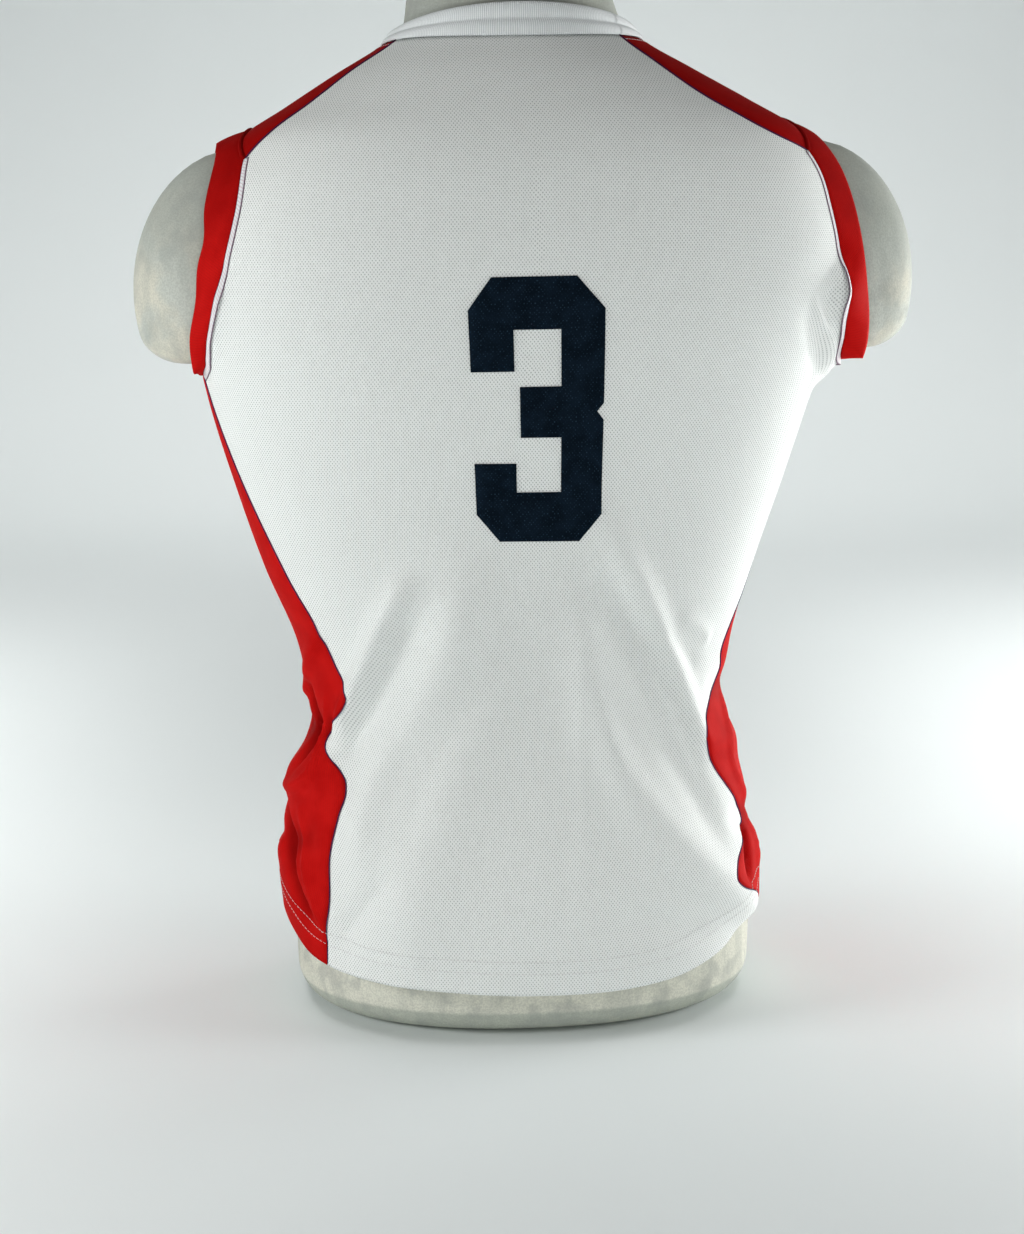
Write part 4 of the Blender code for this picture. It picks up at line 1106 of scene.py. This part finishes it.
def three_outline():
    """Outline of a block 3 with cut corners, from its left edge and its foot."""
    middle = NUMBER_HEIGHT / 2
    top = NUMBER_HEIGHT
    wide = NUMBER_WIDTH
    inner = wide - NUMBER_STROKE
    counter = NUMBER_BAR / 2
    return [
        (0, top - CORNER_DOWN), (CORNER_ACROSS, top),
        (wide - WIDE_CORNER, top), (wide, top - CORNER_DOWN),
        (wide, middle + NOTCH), (wide - NOTCH_IN, middle), (wide, middle - NOTCH),
        (wide, FOOT_CORNER_DOWN), (wide - CORNER_ACROSS, 0), (CORNER_ACROSS, 0),
        (0, FOOT_CORNER_DOWN),
        (0, LOWER_ARM), (NUMBER_STROKE, LOWER_ARM), (NUMBER_STROKE, NUMBER_BAR),
        (inner, NUMBER_BAR),
        (inner, middle - counter), (MIDDLE_BAR_START, middle - counter),
        (MIDDLE_BAR_START, middle + counter), (inner, middle + counter),
        (inner, top - NUMBER_BAR), (NUMBER_STROKE, top - NUMBER_BAR),
        (NUMBER_STROKE, top - UPPER_ARM),
        (0, top - UPPER_ARM),
    ]


def number_cloth(material):
    """The flat digit, cut into small cells and laid on the skin."""
    drawing = bmesh.new()
    drawing.faces.new([drawing.verts.new((x, y, 0)) for x, y in three_outline()])
    for axis, length in ((0, NUMBER_WIDTH), (1, NUMBER_HEIGHT)):
        normal = (1 - axis, axis, 0)
        for place in np.arange(NUMBER_CELL, length, NUMBER_CELL):
            parts = drawing.verts[:] + drawing.edges[:] + drawing.faces[:]
            cut = (place, 0, 0) if axis == 0 else (0, place, 0)
            bmesh.ops.bisect_plane(drawing, geom=parts, dist=1e-6, plane_co=cut, plane_no=normal)
    bmesh.ops.triangulate(drawing, faces=[face for face in drawing.faces if len(face.verts) > 4])
    drawing.verts.index_update()
    flat = np.array([vert.co for vert in drawing.verts])
    faces = [[vert.index for vert in face.verts] for face in drawing.faces]
    drawing.free()
    down = 1 - flat[:, 1] / NUMBER_HEIGHT
    height = NUMBER_FOOT + flat[:, 1] - NUMBER_DROP * down * flat[:, 0] / NUMBER_WIDTH
    squeeze = 1 - NUMBER_SQUEEZE * down
    across = NUMBER_MIDDLE - NUMBER_LEAN * down + (NUMBER_WIDTH / 2 - flat[:, 0]) * squeeze
    turns = turn_at(across, height)
    points = skin(turns, height) + skin_normal(turns, height) * (PRINT_LIFT + PRINT)
    first = faces[0]
    facing = np.cross(points[first[1]] - points[first[0]], points[first[2]] - points[first[0]])[1]
    if facing < 0:
        faces = [face[::-1] for face in faces]
    piece = mesh_object("number_cloth", points, faces, material, Weave(0).lay(turns, height))
    add_wall(piece, PRINT)
    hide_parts("number_three")
    return piece


# ---- sewing


def round_rings(path, across, up, radius, sides):
    """A ring of points round each place on a path."""
    around = np.arange(sides)[:, None] * 2 * math.pi / sides
    return path[:, None] + radius * (across[:, None] * np.cos(around) + up[:, None] * np.sin(around))


def tube(name, path, radius, material, sides=CORD_SIDES):
    """A round cord along a path of points."""
    ahead = unit(np.gradient(path, axis=0))
    across = unit(np.cross(ahead, [0.0, 0.0, 1.0]) + np.array([1e-6, 0, 0]))
    rings = round_rings(path, across, np.cross(across, ahead), radius, sides)
    faces = grid_faces(len(path), sides, ring=True, flip=True)
    faces.append(list(range(sides))[::-1])
    faces.append([(len(path) - 1) * sides + side for side in range(sides)])
    made = mesh_object(name, rings, faces, material)
    return made


def stitches(name, path, out, material, slot):
    """A row of small raised stitches along a path, joined in one mesh."""
    length = ring_length(path)
    starts = np.arange(STITCH_GAP, length[-1] - STITCH, STITCH + STITCH_GAP)
    points, faces = [], []
    share = steps_between(0, 1, STITCH_RINGS - 1)
    swell = np.sin(np.pi * share)
    thick = THREAD * (STITCH_ENDS + (1 - STITCH_ENDS) * swell)
    lift = THREAD * (STITCH_LIFT * swell - STITCH_SINK)
    for start in starts:
        at = start + share * STITCH
        line = np.stack([np.interp(at, length, path[:, axis]) for axis in range(3)], axis=1)
        up = unit(np.stack([np.interp(at, length, out[:, axis]) for axis in range(3)], axis=1))
        ahead = unit(np.gradient(line, axis=0))
        across = unit(np.cross(up, ahead))
        rings = round_rings(line + up * lift[:, None], across, up, thick[:, None, None], STITCH_SIDES)
        first = len(points) * STITCH_RINGS * STITCH_SIDES
        last = first + (STITCH_RINGS - 1) * STITCH_SIDES
        points.append(rings.reshape(-1, 3))
        faces += (np.array(grid_faces(STITCH_RINGS, STITCH_SIDES, ring=True)) + first).tolist()
        faces.append(list(range(first, first + STITCH_SIDES)))
        faces.append(list(range(last, last + STITCH_SIDES))[::-1])
    made = mesh_object(name, np.concatenate(points), faces, material)
    turn_out(made)
    return made


def turn_out(piece):
    """Recalculates a closed mesh's normals so that its faces point outwards."""
    work = bmesh.new()
    work.from_mesh(piece.data)
    bmesh.ops.recalc_face_normals(work, faces=work.faces[:])
    work.to_mesh(piece.data)
    work.free()


def hem_stitches(name, first, last, above, steps, material):
    """A row of stitches along the hem, a given distance above its edge."""
    line, out = on_skin(level_edge(first, last, steps, hem_height) + [0, above])
    return stitches(name, line + out * HEM_LIFT, out, material, "white_mesh")


def seam_cord(name, path, material):
    """A fine cord along a seam."""
    points = skin(path[:, 0], path[:, 1])
    return tube(name, points, CORD_RADIUS, material)


def armhole_tape(name, table, side, material):
    """The white tape that lies on a panel along its armhole seam."""
    points, normal = on_skin(armhole_edge(table, side)[2:])
    ahead = unit(np.gradient(points, axis=0))
    inward = unit(np.cross(normal, ahead))
    centre = np.array([0.0, points[:, 1].mean(), points[:, 2].mean()])
    if ((centre - points) * inward).sum() < 0:
        inward = -inward
    share = np.array(TAPE_ACROSS)
    arch = TAPE_LIFT * np.sin(np.pi * share) ** TAPE_LIFT_CURVE
    rows = points[None] + inward * (TAPE * share)[:, None, None] + normal * arch[:, None, None]
    along = ring_length(points)
    lay = np.stack([np.broadcast_to((TAPE * share)[:, None], rows.shape[:2]),
                    np.broadcast_to(along, rows.shape[:2])], axis=-1)
    flip = (grid_normals(rows) * normal).sum() < 0
    made = mesh_object(name, rows, grid_faces(*rows.shape[:2], flip=flip), material, lay)
    add_wall(made, TAPE_WALL)
    return made, points + inward * (TAPE * TAPE_CORD_OUT) + normal * TAPE_CORD_LIFT


def sew(sewn, white_thread, navy_thread, purple_thread, tape, red):
    """Tape, cords, welts and stitches. Each goes with the cloth that it's sewn on."""
    for side, where in ((1, "left"), (-1, "right")):
        for face, armhole, seam, shoulder in (
            ("back", ARMHOLE_BACK, BACK_SEAM[side], BACK_SHOULDER_SEAM),
            ("front", ARMHOLE_FRONT, FRONT_SEAM, FRONT_SHOULDER_SEAM),
        ):
            strip, line = armhole_tape(f"{face}_tape_{where}", armhole, side, tape)
            sewn[face] += [
                strip,
                tube(f"{face}_tape_cord_{where}", line, TAPE_CORD_RADIUS, purple_thread),
                seam_cord(f"{face}_seam_cord_{where}", side_seam(seam, side), navy_thread),
                seam_cord(f"{face}_armhole_cord_{where}", armhole_edge(armhole, side), navy_thread),
                seam_cord(f"{face}_shoulder_cord_{where}", shoulder_seam(shoulder, side), navy_thread),
            ]
        ridge, out = on_skin(strip_armhole_edge(side))
        welt = tube(
            f"shoulder_welt_{where}", ridge - out * WELT_SINK, WELT_RADIUS, red, WELT_SIDES,
        )
        neck = level_edge(*neck_corners(side), NECK_LINE_STEPS, neck_height) - [0, NECK_STITCHES]
        row = stitches(f"neck_stitches_{where}", *on_skin(neck), white_thread, "white_mesh")
        sewn[f"strip_{where}"] += [welt, row]
        back, front = side_seam(BACK_SEAM[side], side)[0, 0], side_seam(FRONT_SEAM, side)[0, 0]
        for row, above in HEM_ROWS:
            sewn[f"side_{where}"].append(hem_stitches(
                f"side_hem_{row}_{where}", back + SIDE_STITCHES[side], front, above,
                SIDE_HEM_LINE_STEPS, white_thread,
            ))
    left, right = side_seam(LEFT_BACK_SEAM, 1)[0, 0], side_seam(RIGHT_BACK_SEAM, -1)[0, 0]
    front = side_seam(FRONT_SEAM, 1)[0, 0]
    for row, above in HEM_ROWS:
        for face, ends in (("back", (right, left)), ("front", (front, 360 - front))):
            sewn[face].append(
                hem_stitches(f"{face}_hem_{row}", *ends, above, HEM_LINE_STEPS, white_thread)
            )


# ---- the form


def cap_radius(bearing, height, shift):
    """Distance from the torso's middle to the far side of the nearer arm cap, along a bearing."""
    if height < CAP_CUT:
        return np.zeros_like(bearing)
    round_in = CAP_ROUND - math.sqrt(CAP_ROUND**2 - max(0, CAP_ROUND - (height - CAP_CUT)) ** 2)
    tall = math.sqrt(max(0, 1 - ((height - CAP_HEIGHT) / CAP_TALL) ** 2))
    wide = CAP_WIDE * tall - round_in
    deep = CAP_DEEP * tall - round_in
    if min(wide, deep) <= CAP_THIN:
        return np.zeros_like(bearing)
    across, along = np.abs(np.sin(bearing)) / wide, np.cos(bearing) / deep
    middle = (CAP_MIDDLE + np.sign(np.sin(bearing)) * (CAP_SHIFT - shift)) / wide
    square = across**2 + along**2
    toward = across * middle
    inside = toward**2 - square * (middle**2 - 1)
    return (toward + np.sign(inside) * np.sqrt(np.abs(inside))) / square


def rounded_max(first, second, blend):
    near = np.maximum(blend - np.abs(first - second), 0) / blend
    return np.maximum(first, second) + near * near * blend / 4


def form_ring(height, bearing):
    """One level ring of the form: its torso section, with the arm caps blended in."""
    half_width, shift, back, front, square = (
        float(smooth_table(FORM_SECTIONS, column, height)) for column in range(1, SECTION_COLUMNS)
    )
    base = FORM_BASE_ROUND - math.sqrt(FORM_BASE_ROUND**2 - max(0, FORM_BASE_ROUND - height) ** 2)
    crown = max(0, height - (FORM_TOP - FORM_TOP_ROUND))
    crown = FORM_TOP_ROUND - math.sqrt(max(0, FORM_TOP_ROUND**2 - crown**2))
    trim = base + crown
    depth = np.where(np.cos(bearing) > 0, back, front) - trim
    across, along = np.sin(bearing) / (half_width - trim), np.cos(bearing) / depth
    torso = (np.abs(across) ** square + np.abs(along) ** square) ** (-1 / square)
    radius = rounded_max(torso, cap_radius(bearing, height, shift), CAP_BLEND)
    ring = [shift + radius * np.sin(bearing), radius * np.cos(bearing), np.full(len(bearing), height)]
    return tilted(np.stack(ring, axis=1))


def form_heights():
    """Rings every few millimetres, closer where the base, the caps and the neck's top turn in."""

    def quarter(rings):
        return steps_between(0, math.pi / 2, rings)

    close = [
        *(FORM_BASE_ROUND * (1 - np.cos(quarter(FORM_BASE_RINGS)))),
        *(CAP_CUT + CAP_ROUND * (1 - np.cos(quarter(CAP_RINGS)))),
        *(FORM_TOP - FORM_TOP_ROUND * (1 - np.sin(quarter(FORM_TOP_RINGS)))),
        CAP_CUT - CAP_STEP,
    ]
    even = np.arange(0, FORM_TOP, FORM_STEP)
    far = [height for height in even if min(abs(height - other) for other in close) > FORM_STEP / 2]
    return sorted(far + close)


def form_body(material):
    bearing = np.arange(FORM_SIDES) * 2 * math.pi / FORM_SIDES
    bearing = bearing + FORM_CROWDING * np.sin(2 * bearing)
    heights = form_heights()
    rings = np.stack([form_ring(height, bearing) for height in heights])
    faces = grid_faces(*rings.shape[:2], ring=True)
    faces.append(list(range(FORM_SIDES)))
    faces.append(list(range((len(heights) - 1) * FORM_SIDES, len(heights) * FORM_SIDES)))
    body = mesh_object("form_body", rings, faces, material)
    turn_out(body)
    body.data.set_sharp_from_angle(angle=math.radians(FORM_SHARP))
    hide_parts("dress_form")
    return body


# ---- floor, light and camera

CAMERA_DISTANCE = 1.38
CAMERA_HEIGHT = 0.487
CAMERA_TURN = math.radians(4.5)
CAMERA_PITCH = math.radians(10)
CAMERA_ROLL = math.radians(-0.5)
CAMERA_LENS = 63.4
CAMERA_SHIFT = -0.0065
SENSOR_HEIGHT = 36

FLOOR_HALF = 7.0
FLOOR_ROWS = (7.0, 2.0, 0.0)
BACKDROP_START = -2.2
BACKDROP_BEND = 1.2
BACKDROP_TOP = 6.0
BACKDROP_STEPS = 24

LIGHT_COLOUR = (1.0, 1.0, 0.985)
WORLD_COLOUR = (0.97, 1.0, 1.0, 1)
WORLD_STRENGTH = 0.03
LIGHTS = (
    # name, place, aim, size, power, spread in degrees
    ("left_softbox", (1.7, 0.4, 0.8), (0, 0, 0.25), (0.8, 0.5), 15.5, 180),
    ("right_softbox", (-1.7, 0.4, 0.8), (0, 0, 0.25), (0.8, 0.5), 9, 180),
    ("right_rear_softbox", (-1.7, -0.9, 0.18), (0, 0, 0.25), (0.8, 0.5), 4.0, 50),
    ("low_fill", (0, 2.2, 0.12), (0, 0, 0.2), (1.6, 0.2), 14, 180),
    ("backdrop_wash", (0, -1.2, 2.6), (0, -2.7, 0.1), (4.0, 0.8), 20, 90),
    ("backdrop_right_wash", (-1.5, -1.2, 2.0), (-1.0, -3.3, 0.8), (1.5, 0.8), 7, 180),
    ("floor_left", (1.0, -0.4, 2.0), (1.0, -0.4, 0), (1.0, 1.6), 7.5, 50),
    ("floor_right", (-1.0, -0.4, 2.0), (-1.0, -0.4, 0), (1.0, 1.6), 7.5, 50),
    ("floor_near", (0, 0.9, 2.0), (0, 0.9, 0), (1.6, 0.8), 1.0, 50),
)


def floor():
    """A floor that sweeps up into a plain backdrop behind the form."""
    line = [
        *((row, 0.0) for row in FLOOR_ROWS),
        *((BACKDROP_START - BACKDROP_BEND * math.sin(angle), BACKDROP_BEND * (1 - math.cos(angle)))
          for angle in steps_between(0, math.pi / 2, BACKDROP_STEPS)),
        (BACKDROP_START - BACKDROP_BEND, BACKDROP_TOP),
    ]
    points = [(x, y, z) for y, z in line for x in (-FLOOR_HALF, FLOOR_HALF)]
    faces = [[2 * row, 2 * row + 1, 2 * row + 3, 2 * row + 2] for row in range(len(line) - 1)]
    mesh = bpy.data.meshes.new("floor")
    mesh.from_pydata(points, [], faces)
    mesh.shade_smooth()
    mesh.materials.append(floor_finish())
    made = bpy.data.objects.new("floor", mesh)
    bpy.context.scene.collection.objects.link(made)


def soft_light(name, place, aim, size, power, spread):
    data = bpy.data.lights.new(name, "AREA")
    data.shape = "RECTANGLE"
    data.size, data.size_y = size
    data.energy = power
    data.color = LIGHT_COLOUR
    data.spread = math.radians(spread)
    made = bpy.data.objects.new(name, data)
    made.location = place
    made.rotation_euler = (Vector(aim) - Vector(place)).to_track_quat("-Z", "Y").to_euler()
    bpy.context.scene.collection.objects.link(made)


def studio():
    world = bpy.data.worlds.new("studio")
    bpy.context.scene.world = world
    world.use_nodes = True
    world.node_tree.nodes["Background"].inputs["Color"].default_value = WORLD_COLOUR
    world.node_tree.nodes["Background"].inputs["Strength"].default_value = WORLD_STRENGTH
    for light in LIGHTS:
        soft_light(*light)


def camera():
    data = bpy.data.cameras.new("camera")
    data.sensor_fit = "VERTICAL"
    data.sensor_height = SENSOR_HEIGHT
    data.lens = CAMERA_LENS
    data.shift_x = CAMERA_SHIFT
    made = bpy.data.objects.new("camera", data)
    bpy.context.scene.collection.objects.link(made)
    across, back = math.sin(CAMERA_TURN) * CAMERA_DISTANCE, math.cos(CAMERA_TURN) * CAMERA_DISTANCE
    place = Vector((across, back, CAMERA_HEIGHT))
    made.matrix_world = (
        Matrix.Translation(place)
        @ Matrix.Rotation(math.pi - CAMERA_TURN, 4, "Z")
        @ Matrix.Rotation(math.pi / 2 - CAMERA_PITCH, 4, "X")
        @ Matrix.Rotation(CAMERA_ROLL, 4, "Z")
    )
    bpy.context.scene.camera = made
    bpy.context.scene.view_settings.view_transform = "Standard"


# ---- putting it together


def build():
    white, red, rib, navy = white_mesh(), red_knit(), white_rib(), navy_print()
    white_thread = thread_finish("white_thread", WHITE_THREAD)
    navy_thread = thread_finish("navy_thread", NAVY_THREAD)
    purple_thread = thread_finish("purple_thread", PURPLE_THREAD)
    pieces = {"back": back_cloth(white), "front": front_cloth(white), "collar": collar_cloth(rib)}
    for side, where in ((1, "left"), (-1, "right")):
        pieces[f"side_{where}"] = side_cloth(side, where, red)
        pieces[f"strip_{where}"] = strip_cloth(side, where, red)
        pieces[f"band_{where}"] = band_cloth(side, where, red)
    pieces["number"] = number_cloth(navy)
    sewn = {name: [] for name in pieces}
    sew(sewn, white_thread, navy_thread, purple_thread, tape_finish(), red)
    form = form_body(form_cover())


floor()
studio()
camera()
build()
